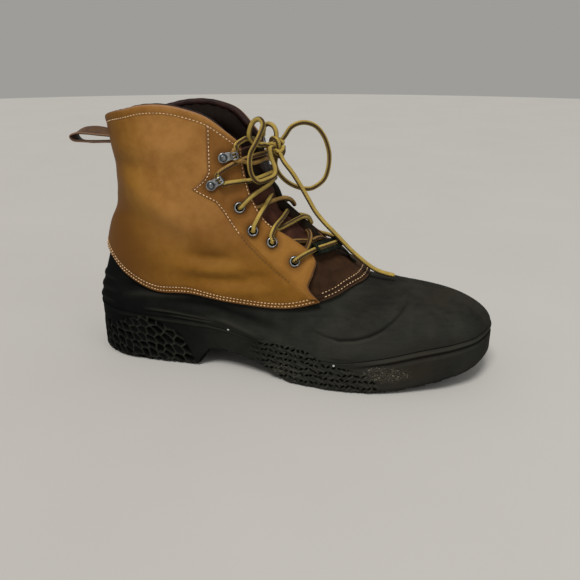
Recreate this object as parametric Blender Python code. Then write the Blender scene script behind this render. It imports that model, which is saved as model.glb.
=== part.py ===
"""Insulated pac boot for the right foot, size 11: a moulded rubber bottom with a lugged outsole,
a tan leather shaft with a laced front, a brown vamp and tongue, and the free bow of the lace.

The frame has +X towards the toe, +Y towards the inner side of the foot and +Z up, with its origin
on the floor under the middle of the boot. Lengths are in metres. Inside this script a station is
counted along the foot from the back of the heel, and place() carries it into the frame.
"""

import math
from collections import namedtuple

import bmesh
import bpy
import numpy as np
from mathutils import Matrix, Vector

# ---------------------------------------------------------------- driving dimensions
SOLE_LENGTH = 0.318
BALL_WIDTH = 0.1155
SHAFT_HEIGHT = 0.1995
SHAFT_WIDTH = 0.089
HEEL_BREAST = 0.0165
LACE_RADIUS = 0.00175
GAP = 0.0003

HEEL_X = -0.15133
AXIS_Y = 0.00293

# ---------------------------------------------------------------- walls and layers
# Depths are counted outwards from the last's surface.
SHAFT_LAYER = (-0.0007, 0.0018)
EYESTAY_LAYER = (0.0024, 0.0036)
VAMP_LAYER = (-0.0041, -0.0021)
TONGUE_LAYER = (-0.0075, -0.0045)
VAMP_TOP = 0.0940
LIP_SIDE = -0.0014
LIP_FRONT = -0.0048
LIP_WALL = 0.0020
LIP_HEIGHT = 0.010
SHELL_WALL = 0.0030
SHELL_INSET = 0.0015
RIM_WIDTH = 0.0055
INSOLE_THICKNESS = 0.0040
RING_SQUARENESS = 2.25
AXIS_TURN = 0.0045

# Each station is a place on the sole's outline. along is a share of the sole's length, lateral
# and medial are shares of the ball's width, ring_angle is where its section meets the last's rings
# (degrees, 180 at the back and 0 at the front), and welt, edge and collar are heights as shares
# of the shaft's height: the sole's top, the rubber's top edge and the leather's top edge.
Station = namedtuple("Station", "name along lateral medial ring_angle welt edge collar")
STATIONS = [
    Station("heel back", 0.000, 0.000, 0.000, 180.0, 0.211, 0.441, 0.940),
    Station("heel corner", 0.022, 0.216, 0.212, 153.0, 0.208, 0.413, 0.952),
    Station("heel side", 0.094, 0.342, 0.333, 134.0, 0.203, 0.343, 0.967),
    Station("heel front", 0.189, 0.372, 0.355, 118.0, 0.198, 0.301, 0.979),
    Station("arch back", 0.283, 0.372, 0.338, 101.0, 0.189, 0.307, 0.996),
    Station("arch", 0.377, 0.390, 0.325, 88.7, 0.170, 0.285, 0.999),
    Station("arch front", 0.472, 0.437, 0.346, 74.6, 0.140, 0.273, 0.985),
    Station("ball back", 0.566, 0.498, 0.398, 60.0, 0.120, 0.294, 0.957),
    Station("ball", 0.660, 0.528, 0.455, 46.5, 0.118, 0.322, 0.905),
    Station("ball front", 0.755, 0.502, 0.476, 36.3, 0.143, 0.345, 0.865),
    Station("toe side", 0.840, 0.433, 0.433, 27.9, 0.170, 0.357, 0.850),
    Station("toe corner", 0.912, 0.352, 0.370, 19.6, 0.185, 0.364, 0.845),
    Station("toe front", 0.969, 0.220, 0.262, 11.0, 0.195, 0.370, 0.842),
    Station("toe tip", 1.000, -0.030, 0.030, 0.0, 0.2005, 0.373, 0.842),
]

# The last above the rubber, ring by ring: height as a share of the shaft's height, back and front
# as shares of the sole's length, half_width as a share of the shaft's width.
Ring = namedtuple("Ring", "height back front half_width")
RINGS = [
    Ring(0.251, 0.0090, 0.7990, 0.492),
    Ring(0.311, 0.0160, 0.7520, 0.488),
    Ring(0.371, 0.0240, 0.7080, 0.483),
    Ring(0.426, 0.0300, 0.6590, 0.476),
    Ring(0.476, 0.0380, 0.6180, 0.467),
    Ring(0.536, 0.0500, 0.5710, 0.458),
    Ring(0.596, 0.0660, 0.5270, 0.452),
    Ring(0.662, 0.0740, 0.4910, 0.449),
    Ring(0.767, 0.0755, 0.4590, 0.461),
    Ring(0.877, 0.0720, 0.4390, 0.483),
    Ring(1.003, 0.0660, 0.4245, 0.500),
]

# Front edge of the shaft's two sides: ring angle by height.
Edge = namedtuple("Edge", "height angle")
THROAT = [
    Edge(0.301, 58.5),
    Edge(0.361, 57.5),
    Edge(0.401, 49.5),
    Edge(0.446, 39.5),
    Edge(0.476, 38.0),
    Edge(0.521, 40.5),
    Edge(0.571, 46.0),
    Edge(0.652, 45.0),
    Edge(0.752, 42.0),
    Edge(0.862, 37.5),
]

# Back edge of the eyestay, with its stitched point at mid height.
EYESTAY_BACK = [
    Edge(0.310, 63.0),
    Edge(0.418, 66.8),
    Edge(0.523, 69.5),
    Edge(0.632, 69.7),
    Edge(0.668, 71.5),
    Edge(0.709, 82.5),
    Edge(0.745, 73.5),
    Edge(0.774, 69.0),
    Edge(0.834, 66.0),
    Edge(0.925, 62.0),
    Edge(0.955, 60.5),
]

# Eyelets from the bottom up, then hooks. lean is the angle of a hook above the level.
Hole = namedtuple("Hole", "name height angle lean")
EYELETS = [
    Hole("eyelet_1", 0.445, 52.4, 0.0),
    Hole("eyelet_2", 0.515, 54.7, 0.0),
    Hole("eyelet_3", 0.558, 59.9, 0.0),
    Hole("eyelet_4", 0.641, 57.9, 0.0),
]
HOOKS = [
    Hole("hook_1", 0.725, 69.4, 32.0),
    Hole("hook_2", 0.820, 55.2, 12.0),
]
SIDES = (("lateral", 1), ("medial", -1))
EYELET_FLANGE = 0.0010
# From a hook's rivet to the lace in front of its neck, as a length and as an angle round the last.
HOOK_REACH = 0.0113
HOOK_CLEAR_ANGLE = 12.7

BAR_RISE = 0.0045
KEEPER_ANGLES = (8.0, 30.0)

# The bow: where each strand starts and ends, how many points its tube has, and its route by hand.
KNOT_CENTRE = np.array([0.1505, 0.0, 0.1655])
KNOT_HALF_SIZE = np.array([0.0070, 0.0070, 0.0075])
Strand = namedtuple("Strand", "name start end count route")
BOW = [
    Strand("lace_loop_near", "knot", "knot", 19, [
        (0.1412, -0.0070, 0.1693), (0.1411, -0.0160, 0.1700), (0.1388, -0.0240, 0.1733),
        (0.1372, -0.0280, 0.1778), (0.1395, -0.0302, 0.1842), (0.1440, -0.0315, 0.1885),
        (0.1479, -0.0340, 0.1887), (0.1470, -0.0370, 0.1839), (0.1443, -0.0390, 0.1768),
        (0.1411, -0.0390, 0.1680), (0.1400, -0.0390, 0.1604), (0.1411, -0.0370, 0.1520),
        (0.1445, -0.0340, 0.1472), (0.1498, -0.0290, 0.1481), (0.1538, -0.0230, 0.1502),
        (0.1538, -0.0190, 0.1545), (0.1507, -0.0160, 0.1619), (0.1484, -0.0130, 0.1690),
    ]),
    Strand("lace_loop_far", "knot", "knot", 16, [
        (0.1560, 0.0028, 0.1750), (0.1600, 0.0042, 0.1808), (0.1660, 0.0070, 0.1837),
        (0.1713, 0.0090, 0.1837), (0.1775, 0.0110, 0.1811), (0.1831, 0.0130, 0.1741),
        (0.1863, 0.0140, 0.1657), (0.1875, 0.0140, 0.1586), (0.1868, 0.0130, 0.1492),
        (0.1841, 0.0120, 0.1418), (0.1778, 0.0100, 0.1364), (0.1732, 0.0080, 0.1349),
        (0.1654, 0.0060, 0.1361), (0.1573, 0.0040, 0.1402), (0.1513, 0.0020, 0.1468),
        (0.1490, 0.0000, 0.1536),
    ]),
    Strand("lace_end", "knot", "tip", 13, [
        (0.1568, -0.0060, 0.1580), (0.1616, -0.0060, 0.1519), (0.1660, -0.0050, 0.1441),
        (0.1734, -0.0080, 0.1335), (0.1862, -0.0110, 0.1200), (0.1998, -0.0120, 0.1075),
        (0.2118, -0.0100, 0.0930), (0.2214, -0.0060, 0.0812), (0.2290, -0.0030, 0.0762),
        (0.2368, 0.0000, 0.0737), (0.2438, 0.0000, 0.0725),
    ]),
    Strand("lace_tie_lateral", "lateral", "knot", 8, [
        (0.1300, -0.0372, 0.1722), (0.1330, -0.0288, 0.1752), (0.1334, -0.0180, 0.1746),
        (0.1366, -0.0080, 0.1725), (0.1398, 0.0028, 0.1675),
    ]),
    Strand("lace_tie_medial", "medial", "knot", 9, [
        (0.1302, 0.0372, 0.1722), (0.1330, 0.0288, 0.1762), (0.1348, 0.0150, 0.1782),
        (0.1384, 0.0070, 0.1806), (0.1432, 0.0028, 0.1830), (0.1478, 0.0000, 0.1815),
        (0.1499, -0.0010, 0.1778),
    ]),
]

# Side of the outsole from the floor up: share of its height, inset from the outline, and how far
# the heel's ribs and the toe's bumper stand out there.
Step = namedtuple("Step", "share inset heel_rib toe_bumper")
SIDE_STEPS = [
    Step(0.00, 0.0034, 0.0, 0.0),
    Step(0.07, 0.0020, 0.0, 0.0),
    Step(0.62, 0.0014, 0.0, 0.0014),
    Step(0.80, 0.0012, 0.0000, 0.0014),
    Step(0.85, 0.0012, 0.0012, 0.0),
    Step(0.90, 0.0012, 0.0000, 0.0),
    Step(0.95, 0.0010, 0.0012, 0.0009),
    Step(1.00, 0.0006, 0.0000, 0.0004),
]

# Underside of the arch seen from the side: station as a share of length, height in shares of
# the heel breast.
Arch = namedtuple("Arch", "along height")
ARCH = [
    Arch(0.291, -0.30),
    Arch(0.306, 0.36),
    Arch(0.330, 0.92),
    Arch(0.350, 1.00),
    Arch(0.372, 0.97),
    Arch(0.418, 0.82),
    Arch(0.459, 0.60),
    Arch(0.495, 0.30),
    Arch(0.534, 0.02),
    Arch(0.560, -0.30),
]

# Raised blocks on the outsole's side: where a zone starts and ends round the outline, how many
# blocks its two rows have, their width, and the shares of the side's height that each row fills.
LugZone = namedtuple("LugZone", "name start end count width lower_row upper_row")
LUG_ZONES = [
    LugZone("heel", -0.135, 0.135, 13, 0.0070, (0.12, 0.37), (0.43, 0.68)),
    LugZone("ball lateral", 0.262, 0.372, 7, 0.0085, (0.26, 0.50), (0.58, 0.82)),
    LugZone("ball medial", 0.628, 0.738, 7, 0.0085, (0.26, 0.50), (0.58, 0.82)),
]
LUG_LEAN = 0.0016

TOE_SPRING = 0.0170
SPRING_START = 0.715
HEEL_ROUND = 0.0022
HEEL_ROUND_END = 0.045

AROUND = 60
COLUMN_OF_STATION = 2 * (len(STATIONS) - 1)

# ---------------------------------------------------------------- colours
Finish = namedtuple("Finish", "color roughness metallic")
FINISHES = {
    "black_rubber": Finish((0.016, 0.016, 0.015, 1), 0.62, 0.0),
    "tan_leather": Finish((0.330, 0.135, 0.035, 1), 0.48, 0.0),
    "eyestay_leather": Finish((0.300, 0.110, 0.032, 1), 0.50, 0.0),
    "brown_leather": Finish((0.085, 0.032, 0.020, 1), 0.62, 0.0),
    "dark_edging": Finish((0.030, 0.012, 0.010, 1), 0.55, 0.0),
    "loop_leather": Finish((0.115, 0.050, 0.022, 1), 0.55, 0.0),
    "insole_felt": Finish((0.050, 0.042, 0.036, 1), 0.90, 0.0),
    "pewter": Finish((0.330, 0.330, 0.320, 1), 0.35, 1.0),
    "yellow_lace": Finish((0.560, 0.360, 0.060, 1), 0.70, 0.0),
    "keeper_webbing": Finish((0.020, 0.026, 0.020, 1), 0.70, 0.0),
}


# ---------------------------------------------------------------- curves and surfaces
def through(knots, values, at):
    """Smooth curve through (knots, values): cubic pieces whose slopes are central differences."""
    knots = np.asarray(knots, float)
    values = np.asarray(values, float)
    at = np.clip(np.asarray(at, float), knots[0], knots[-1])
    slopes = np.gradient(values, knots)
    k = np.clip(np.searchsorted(knots, at, side="right") - 1, 0, len(knots) - 2)
    width = knots[k + 1] - knots[k]
    t = (at - knots[k]) / width
    rise = 3 * t**2 - 2 * t**3
    leave = (t**3 - 2 * t**2 + t) * width
    arrive = (t**3 - t**2) * width
    return (1 - rise) * values[k] + rise * values[k + 1] + leave * slopes[k] + arrive * slopes[k + 1]


def around(lateral, medial, u, turn=0.0):
    """Closed curve through a value for each station, down the lateral side and back up the medial.

    u runs from 0 at the heel to 0.5 at the toe tip and back to 1. turn is what a full round adds.
    """
    one_round = list(lateral) + list(medial[-2:0:-1])
    values = np.array([v - turn for v in one_round] + one_round + [v + turn for v in one_round])
    knots = np.arange(-COLUMN_OF_STATION, 2 * COLUMN_OF_STATION) / COLUMN_OF_STATION
    return through(knots, values, u)


def column(name):
    return [getattr(station, name) for station in STATIONS]


def same_both_sides(name, u):
    return around(column(name), column(name), u)


def ring_angle(u):
    angles = column("ring_angle")
    return np.radians(around(angles, [-a for a in angles], u, turn=-360.0))


def smooth(low, high, value):
    t = np.clip((value - low) / (high - low), 0.0, 1.0)
    return t * t * (3 - 2 * t)


def outline(u, inset):
    """Plan of the sole, moved inwards by inset along its own normal: an array of x, y."""
    def point(at):
        x = SOLE_LENGTH * same_both_sides("along", at)
        y = BALL_WIDTH * around([-v for v in column("lateral")], column("medial"), at)
        return np.stack([x, y], -1)

    small = 1e-4
    run = point(u + small) - point(u - small)
    run /= np.linalg.norm(run, axis=-1, keepdims=True)
    inwards = np.stack([-run[..., 1], run[..., 0]], -1)
    return point(u) + inwards * np.asarray(inset)[..., None]


def axis_offset(x):
    """The foot's axis swings to the inner side ahead of the instep."""
    return AXIS_TURN * smooth(0.100, 0.225, x)


def last_ring(angle, height):
    """The last above the rubber: at each height a superellipse between back and front."""
    heights = [r.height * SHAFT_HEIGHT for r in RINGS]
    back = through(heights, [r.back * SOLE_LENGTH for r in RINGS], height)
    front = through(heights, [r.front * SOLE_LENGTH for r in RINGS], height)
    half_width = through(heights, [r.half_width * SHAFT_WIDTH for r in RINGS], height)
    c = np.cos(angle)
    s = np.sin(angle)
    power = 2 / RING_SQUARENESS
    x = (back + front) / 2 + (front - back) / 2 * np.sign(c) * np.abs(c) ** power
    y = axis_offset(x) - half_width * np.sign(s) * np.abs(s) ** power
    return np.stack(np.broadcast_arrays(x, y, height), -1)


def last_normal(angle, height):
    """Outward normal of the last: the cross product of its two slopes."""
    turn, climb = 1e-3, 1e-4
    across = last_ring(angle - turn, height) - last_ring(angle + turn, height)
    up = last_ring(angle, height + climb) - last_ring(angle, height - climb)
    normal = np.cross(across, up)
    return normal / np.linalg.norm(normal, axis=-1, keepdims=True)


def layer(angle, height, depth):
    """A point on the last moved outwards by depth."""
    angle, height = np.broadcast_arrays(np.asarray(angle, float), np.asarray(height, float))
    return last_ring(angle, height) + last_normal(angle, height) * np.asarray(depth)[..., None]


def angle_by_height(table, height):
    heights = [row.height * SHAFT_HEIGHT for row in table]
    return np.radians(through(heights, [row.angle for row in table], height))


def height_at(name, angle):
    """Height of a station column where the ring angle is angle, the same on both sides."""
    angles = np.radians(column("ring_angle"))[::-1]
    heights = SHAFT_HEIGHT * np.array(column(name))[::-1]
    return through(angles, heights, np.abs(angle))


def grid_normals(points, closed):
    """Outward normals of a grid whose rows run round the boot and whose columns climb."""
    if closed:
        along = np.roll(points, -1, axis=1) - np.roll(points, 1, axis=1)
    else:
        along = np.gradient(points, axis=1)
    normal = np.cross(along, np.gradient(points, axis=0))
    return normal / np.linalg.norm(normal, axis=-1, keepdims=True)


# ---------------------------------------------------------------- objects
def place(points):
    """From stations along the foot into the frame."""
    return np.asarray(points, float) + np.array([HEEL_X, AXIS_Y, 0.0])


def clear_scene():
    for obj in list(bpy.data.objects):
        bpy.data.objects.remove(obj)


def new_collection(name):
    collection = bpy.data.collections.new(name)
    bpy.context.scene.collection.children.link(collection)
    return collection


def make_material(name):
    finish = FINISHES[name]
    material = bpy.data.materials.get(name) or bpy.data.materials.new(name)
    material.use_nodes = True
    shader = material.node_tree.nodes["Principled BSDF"]
    shader.inputs["Base Color"].default_value = finish.color
    shader.inputs["Roughness"].default_value = finish.roughness
    shader.inputs["Metallic"].default_value = finish.metallic
    return material


def mesh_object(name, points, faces, finish, collection):
    """An object from points in stations and faces, with its normals turned outwards."""
    mesh = bpy.data.meshes.new(name)
    mesh.from_pydata(place(points).reshape(-1, 3).tolist(), [], faces)
    bm = bmesh.new()
    bm.from_mesh(mesh)
    bmesh.ops.recalc_face_normals(bm, faces=bm.faces)
    bm.to_mesh(mesh)
    bm.free()
    mesh.shade_smooth()
    mesh.set_sharp_from_angle(angle=math.radians(40))
    obj = bpy.data.objects.new(name, mesh)
    if finish:
        obj.data.materials.append(make_material(finish))
    collection.objects.link(obj)
    return obj


def quad_rows(rows, columns, closed_columns, start=0):
    """Faces between the points of a grid that is stored row by row."""
    last = columns if closed_columns else columns - 1
    faces = []
    for r in range(rows - 1):
        for c in range(last):
            a = start + r * columns + c
            b = start + r * columns + (c + 1) % columns
            faces.append((a, b, b + columns, a + columns))
    return faces


def closed_wall(name, rings, finish, collection):
    """A wall that closes on itself: rings up its outside and down its inside."""
    rings = list(rings) + [rings[0]]
    rows, columns = len(rings), len(rings[0])
    faces = quad_rows(rows, columns, True)
    count = (rows - 1) * columns
    faces = [tuple(i % count for i in face) for face in faces]
    return mesh_object(name, np.concatenate(rings[:-1]), faces, finish, collection)


def slab(name, outer, inner, finish, collection):
    """A sheet with thickness: an outer and an inner grid joined along their four borders."""
    rows, columns = outer.shape[:2]
    count = rows * columns
    faces = quad_rows(rows, columns, False)
    faces += [tuple(reversed(f)) for f in quad_rows(rows, columns, False, start=count)]
    border = [(0, c) for c in range(columns)] + [(r, columns - 1) for r in range(1, rows)]
    border += [(rows - 1, c) for c in range(columns - 2, -1, -1)]
    border += [(r, 0) for r in range(rows - 2, 0, -1)]
    ids = [r * columns + c for r, c in border]
    for a, b in zip(ids, ids[1:] + ids[:1]):
        faces.append((b, a, a + count, b + count))
    points = np.concatenate([outer.reshape(-1, 3), inner.reshape(-1, 3)])
    return mesh_object(name, points, faces, finish, collection)


def pair_strips(start, columns):
    """Strips that close a ring of points, from each lateral point to its medial partner."""
    half = columns // 2
    faces = [(start, start + 1, start + columns - 1)]
    for c in range(1, half - 1):
        faces.append((start + c, start + c + 1, start + columns - c - 1, start + columns - c))
    faces.append((start + half - 1, start + half, start + half + 1))
    return faces


def prism(profile, low, high, axis):
    """Points and faces of a flat outline carried between two values of one axis."""
    count = len(profile)
    points = []
    for value in (low, high):
        for a, b in profile:
            point = [a, b]
            point.insert(axis, value)
            points.append(point)
    faces = [tuple(range(count)), tuple(reversed(range(count, 2 * count)))]
    for k in range(count):
        after = (k + 1) % count
        faces.append((k, after, count + after, count + k))
    return points, faces


def join_shapes(shapes):
    """Many separate point and face lists as one."""
    points, faces = [], []
    for shape_points, shape_faces in shapes:
        start = len(points)
        points += [list(p) for p in shape_points]
        faces += [tuple(start + i for i in face) for face in shape_faces]
    return points, faces


def boolean(obj, other, operation):
    modifier = obj.modifiers.new(operation.lower(), "BOOLEAN")
    modifier.operation = operation
    modifier.solver = "EXACT"
    modifier.object = other


def as_cutter(obj):
    obj.hide_render = True
    obj.display_type = "WIRE"
    return obj


# ---------------------------------------------------------------- rubber bottom
def columns_u(count):
    return np.arange(count) / count


def tread_height(x):
    """Underside of the outsole: rounded up at the back of the heel, sprung up at the toe."""
    heel = HEEL_ROUND * (1 - smooth(0.0, HEEL_ROUND_END * SOLE_LENGTH, x))
    start = SPRING_START * SOLE_LENGTH
    spring = np.clip((x - start) / (SOLE_LENGTH - start), 0.0, 1.0)
    return heel + TOE_SPRING * spring**1.6


def welt_height(u):
    return SHAFT_HEIGHT * same_both_sides("welt", u)


def footbed_height(x):
    """Floor of the recess that holds the insole: high at the heel, low at the ball."""
    stations = np.array([0.0, 0.31, 0.39, 0.45, 0.51, 0.58, 0.74, 0.83, 0.91, 1.0]) * SOLE_LENGTH
    heights = np.array([28.0, 27.0, 25.5, 22.0, 17.5, 13.0, 13.0, 16.0, 21.5, 29.0]) / 1000
    return through(stations, heights, x)


def side_ring(u, step):
    """One ring of the outsole's side, at a share of the height between tread and welt."""
    x = SOLE_LENGTH * same_both_sides("along", u)
    heel = 1 - smooth(0.28 * SOLE_LENGTH, 0.40 * SOLE_LENGTH, x)
    toe = smooth(0.66 * SOLE_LENGTH, 0.78 * SOLE_LENGTH, x)
    inset = step.inset - step.heel_rib * heel - step.toe_bumper * toe
    plan = outline(u, inset)
    low = tread_height(plan[:, 0])
    return np.column_stack([plan, low + step.share * (welt_height(u) - low)])


def tread_grooves():
    """V-shaped grooves across the tread, each a thin prism that runs out at both sides."""
    depth, half_groove, sweep = 0.0040, 0.0016, 0.011
    reach = 0.075
    shapes = []
    heel = [0.055, 0.110, 0.165, 0.220]
    fore = list(np.arange(0.588, 0.960, 0.0420))
    for k, share in enumerate(heel + fore):
        x = share * SOLE_LENGTH
        bend = sweep if share > 0.5 else -sweep
        profile = [
            (x - half_groove, 0.0),
            (x - half_groove - bend, -reach),
            (x + half_groove - bend, -reach),
            (x + half_groove, 0.0),
            (x + half_groove - bend, reach),
            (x - half_groove - bend, reach),
        ]
        top = float(tread_height(np.array(x))) + depth
        shapes.append(prism(profile, -0.01, top, 2))
    return shapes


def arch_prism():
    """The gap under the arch between heel breast and ball, as a cutter from side to side."""
    profile = [(a.along * SOLE_LENGTH, a.height * HEEL_BREAST) for a in ARCH]
    points, faces = prism(profile, -0.09, 0.09, 1)
    return points, faces


def side_lug(u, low, high, width, lean):
    """A raised block on the outsole's side: a box whose face stands out from the wall."""
    root, face = 0.0030, -0.0004
    half = width / 2 / perimeter_speed(u)
    points = []
    for inset in (root, face):
        for share, shift in ((low, -lean), (high, lean)):
            for side in (-1, 1):
                at = np.array(u + side * half + shift)
                plan = outline(at, inset + 0.0006)
                base = float(tread_height(plan[0]))
                top = float(welt_height(at))
                points.append([plan[0], plan[1], base + share * (top - base)])
    faces = [(0, 1, 3, 2), (4, 6, 7, 5), (0, 4, 5, 1), (1, 5, 7, 3), (3, 7, 6, 2), (2, 6, 4, 0)]
    return points, faces


def perimeter_speed(u):
    """Metres of outline for each unit of u."""
    small = 1e-3
    step = outline(np.array(u + small), 0.0) - outline(np.array(u - small), 0.0)
    return float(np.linalg.norm(step) / (2 * small))


def side_lugs():
    """Two staggered rows of blocks round the heel and along both sides of the ball.

    Their feet start above the grooves of the tread.
    """
    shapes = []
    for zone in LUG_ZONES:
        pitch = (zone.end - zone.start) / zone.count
        for k in range(zone.count):
            for row, (low, high) in enumerate((zone.lower_row, zone.upper_row)):
                u = zone.start + (k + row / 2) * pitch
                lean = LUG_LEAN if k % 2 else -LUG_LEAN
                shapes.append(side_lug(u, low, high, zone.width, lean))
    return shapes


def build_outsole(parts, cutters):
    u = columns_u(AROUND)
    rings = [side_ring(u, step) for step in SIDE_STEPS]
    rim = np.column_stack([outline(u, RIM_WIDTH), welt_height(u)])
    bed_plan = outline(u, RIM_WIDTH + 0.0006)
    bed = np.column_stack([bed_plan, footbed_height(bed_plan[:, 0])])
    rings += [rim, bed]
    faces = quad_rows(len(rings), AROUND, True)
    faces += pair_strips(0, AROUND)
    faces += [tuple(reversed(f)) for f in pair_strips((len(rings) - 1) * AROUND, AROUND)]
    sole = mesh_object("outsole", np.concatenate(rings), faces, "black_rubber", parts)

    lugs = mesh_object("side_lugs", *join_shapes(side_lugs()), None, cutters)
    gaps = mesh_object("tread_gaps", *join_shapes(tread_grooves()), None, cutters)
    arch = mesh_object("arch_gap", *arch_prism(), None, cutters)
    boolean(sole, as_cutter(lugs), "UNION")
    boolean(sole, as_cutter(arch), "DIFFERENCE")
    boolean(sole, as_cutter(gaps), "DIFFERENCE")


def lip_depth(u):
    """The rubber's top edge lies one layer deeper in front, where the vamp covers it."""
    x = SOLE_LENGTH * same_both_sides("along", u)
    return LIP_SIDE + (LIP_FRONT - LIP_SIDE) * smooth(0.455 * SOLE_LENGTH, 0.535 * SOLE_LENGTH, x)


def shell_outside(u, rows):
    """Side and toe of the rubber: a cubic from the welt to the top edge at each place round it.

    It leaves the welt upwards. It arrives upwards at the sides and level over the toe.
    """
    foot = np.column_stack([outline(u, SHELL_INSET), welt_height(u) + GAP])
    edge_height = SHAFT_HEIGHT * same_both_sides("edge", u)
    angle = ring_angle(u)
    depth = lip_depth(u)
    top = layer(angle, edge_height, depth)
    rise = (top - foot)[:, 2:]
    x = SOLE_LENGTH * same_both_sides("along", u)
    toe = smooth(0.58 * SOLE_LENGTH, 0.86 * SOLE_LENGTH, x)[:, None]

    leave = np.array([0.0, 0.0, 1.0]) * rise * (1.0 + 1.2 * toe)
    climb = layer(angle, edge_height + 0.001, depth) - top
    climb = climb / climb[:, 2:] * rise
    level = (top - foot) * [1.0, 1.0, 0.0] * 0.50 + np.array([0.0, 0.0, 0.020])
    arrive = climb * (1 - toe) + level * toe

    grid = []
    for t in np.linspace(0.0, 1.0, rows):
        to_top = 3 * t**2 - 2 * t**3
        ring = (1 - to_top) * foot + to_top * top
        grid.append(ring + (t**3 - 2 * t**2 + t) * leave + (t**3 - t**2) * arrive)
    for share in (0.5, 1.0):
        grid.append(layer(angle, edge_height + share * LIP_HEIGHT, depth))
    return np.array(grid)


def build_shell(parts):
    rows = 7
    outside = shell_outside(columns_u(AROUND), rows)
    wall = np.full(len(outside), SHELL_WALL)
    wall[rows - 1:] = LIP_WALL
    inside = outside - grid_normals(outside, True) * wall[:, None, None]
    inside[0, :, 2] = outside[0, :, 2]
    rings = list(outside) + [inside[k] for k in (8, 6, 4, 2, 0)]
    closed_wall("rubber_shell", rings, "black_rubber", parts)


def build_insole(parts):
    u = columns_u(36)
    plan = outline(u, RIM_WIDTH + 0.0006 + 2 * GAP)
    low = footbed_height(plan[:, 0]) + 2 * GAP
    rings = [np.column_stack([plan, low + share * INSOLE_THICKNESS]) for share in (0, 1)]
    faces = quad_rows(2, len(u), True) + pair_strips(0, len(u))
    faces += [tuple(reversed(f)) for f in pair_strips(len(u), len(u))]
    mesh_object("insole", np.concatenate(rings), faces, "insole_felt", parts)


# ---------------------------------------------------------------- leather
def shaft_map(across, climb):
    """Ring angle and height on the shaft: across -1..1 from edge to edge, climb 0..1 upwards.

    The lower and upper edges follow the rubber's edge and the collar, and the throat's edge
    follows its own table.
    """
    def towards(edge_angle):
        return math.pi + (edge_angle - math.pi) * np.abs(across)

    low, high = THROAT[0].height * SHAFT_HEIGHT, THROAT[-1].height * SHAFT_HEIGHT
    angle = towards(angle_by_height(THROAT, low + climb * (high - low)))
    bottom = height_at("edge", towards(math.radians(THROAT[0].angle)))
    top = height_at("collar", towards(math.radians(THROAT[-1].angle)))
    height = bottom + climb * (top - bottom)
    return np.where(across < 0, angle, 2 * math.pi - angle), height


def build_shaft(parts, holes):
    across, climb = np.meshgrid(np.linspace(-1, 1, 35), np.linspace(0, 1, 9))
    angle, height = shaft_map(across, climb)
    outer = layer(angle, height, SHAFT_LAYER[1])
    inner = layer(angle, height, SHAFT_LAYER[0])
    shaft = slab("shaft", outer, inner, "tan_leather", parts)
    boolean(shaft, holes, "DIFFERENCE")


def eyestay_grid(side):
    """The facing's angles and heights: from the throat edge back to its stitched edge."""
    back, climb = np.meshgrid(np.linspace(0.03, 1, 5), np.linspace(0, 1, 14))
    low, high = THROAT[0].height * SHAFT_HEIGHT, THROAT[-1].height * SHAFT_HEIGHT
    edge_height = low + 0.002 + climb * (high - low - 0.004)
    front_angle = angle_by_height(THROAT, edge_height)
    back_low = EYESTAY_BACK[0].height * SHAFT_HEIGHT
    back_high = EYESTAY_BACK[-1].height * SHAFT_HEIGHT - 0.003
    back_height = back_low + climb * (back_high - back_low)
    back_angle = angle_by_height(EYESTAY_BACK, back_height)
    angle = front_angle + (back_angle - front_angle) * back
    height = edge_height + (back_height - edge_height) * back
    return side * angle, height


def build_eyestays(parts, holes):
    for side_name, side in SIDES:
        angle, height = eyestay_grid(side)
        outer = layer(angle, height, EYESTAY_LAYER[1])
        inner = layer(angle, height, EYESTAY_LAYER[0])
        stay = slab(f"eyestay_{side_name}", outer, inner, "eyestay_leather", parts)
        boolean(stay, holes, "DIFFERENCE")


def build_vamp(parts):
    """Plug between the rubber's ridge and the foot of the throat, its sides under the shaft."""
    across, climb = np.meshgrid(np.linspace(-1, 1, 13), np.linspace(0, 1, 6))
    low, high = 0.060, VAMP_TOP
    half_angle = angle_by_height(THROAT, low + climb * (high - low)) + math.radians(5.0)
    angle = across * half_angle
    bottom = height_at("edge", angle)
    height = bottom + climb * (high - bottom)
    outer = layer(angle, height, VAMP_LAYER[1])
    inner = layer(angle, height, VAMP_LAYER[0])
    slab("vamp", outer, inner, "brown_leather", parts)


def build_tongue(parts):
    """Tongue behind the laces, tucked under the vamp, with a rounded top below the collar."""
    across, climb = np.meshgrid(np.linspace(-1, 1, 11), np.linspace(0, 1, 8))
    low, high = 0.0885, 0.1700
    round_top = 0.010 * across**4
    height = low + climb * (high - round_top - low)
    half_angle = angle_by_height(THROAT, height) + math.radians(9.0)
    angle = across * half_angle
    outer = layer(angle, height, TONGUE_LAYER[1])
    inner = layer(angle, height, TONGUE_LAYER[0])
    slab("tongue", outer, inner, "brown_leather", parts)


def tube(name, points, radius, finish, collection, resolution=1):
    """A round cord through points, as a curve with filled ends."""
    curve = bpy.data.curves.new(name, "CURVE")
    curve.dimensions = "3D"
    curve.bevel_depth = radius
    curve.bevel_resolution = resolution
    curve.use_fill_caps = True
    spline = curve.splines.new("POLY")
    spline.points.add(len(points) - 1)
    for point, xyz in zip(spline.points, place(points)):
        point.co = (*xyz, 1.0)
    obj = bpy.data.objects.new(name, curve)
    obj.data.materials.append(make_material(finish))
    collection.objects.link(obj)
    return obj


def build_collar_rim(parts):
    """Rolled edge along the inside of the collar, from one front corner round to the other."""
    radius, front = 0.0020, math.radians(50.0)
    angle = np.linspace(front, 2 * math.pi - front, 30)
    wrapped = np.where(angle > math.pi, angle - 2 * math.pi, angle)
    height = height_at("collar", wrapped) - 0.0012
    points = layer(angle, height, SHAFT_LAYER[0] - GAP - radius)
    tube("collar_rim", points, radius, "dark_edging", parts)


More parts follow.
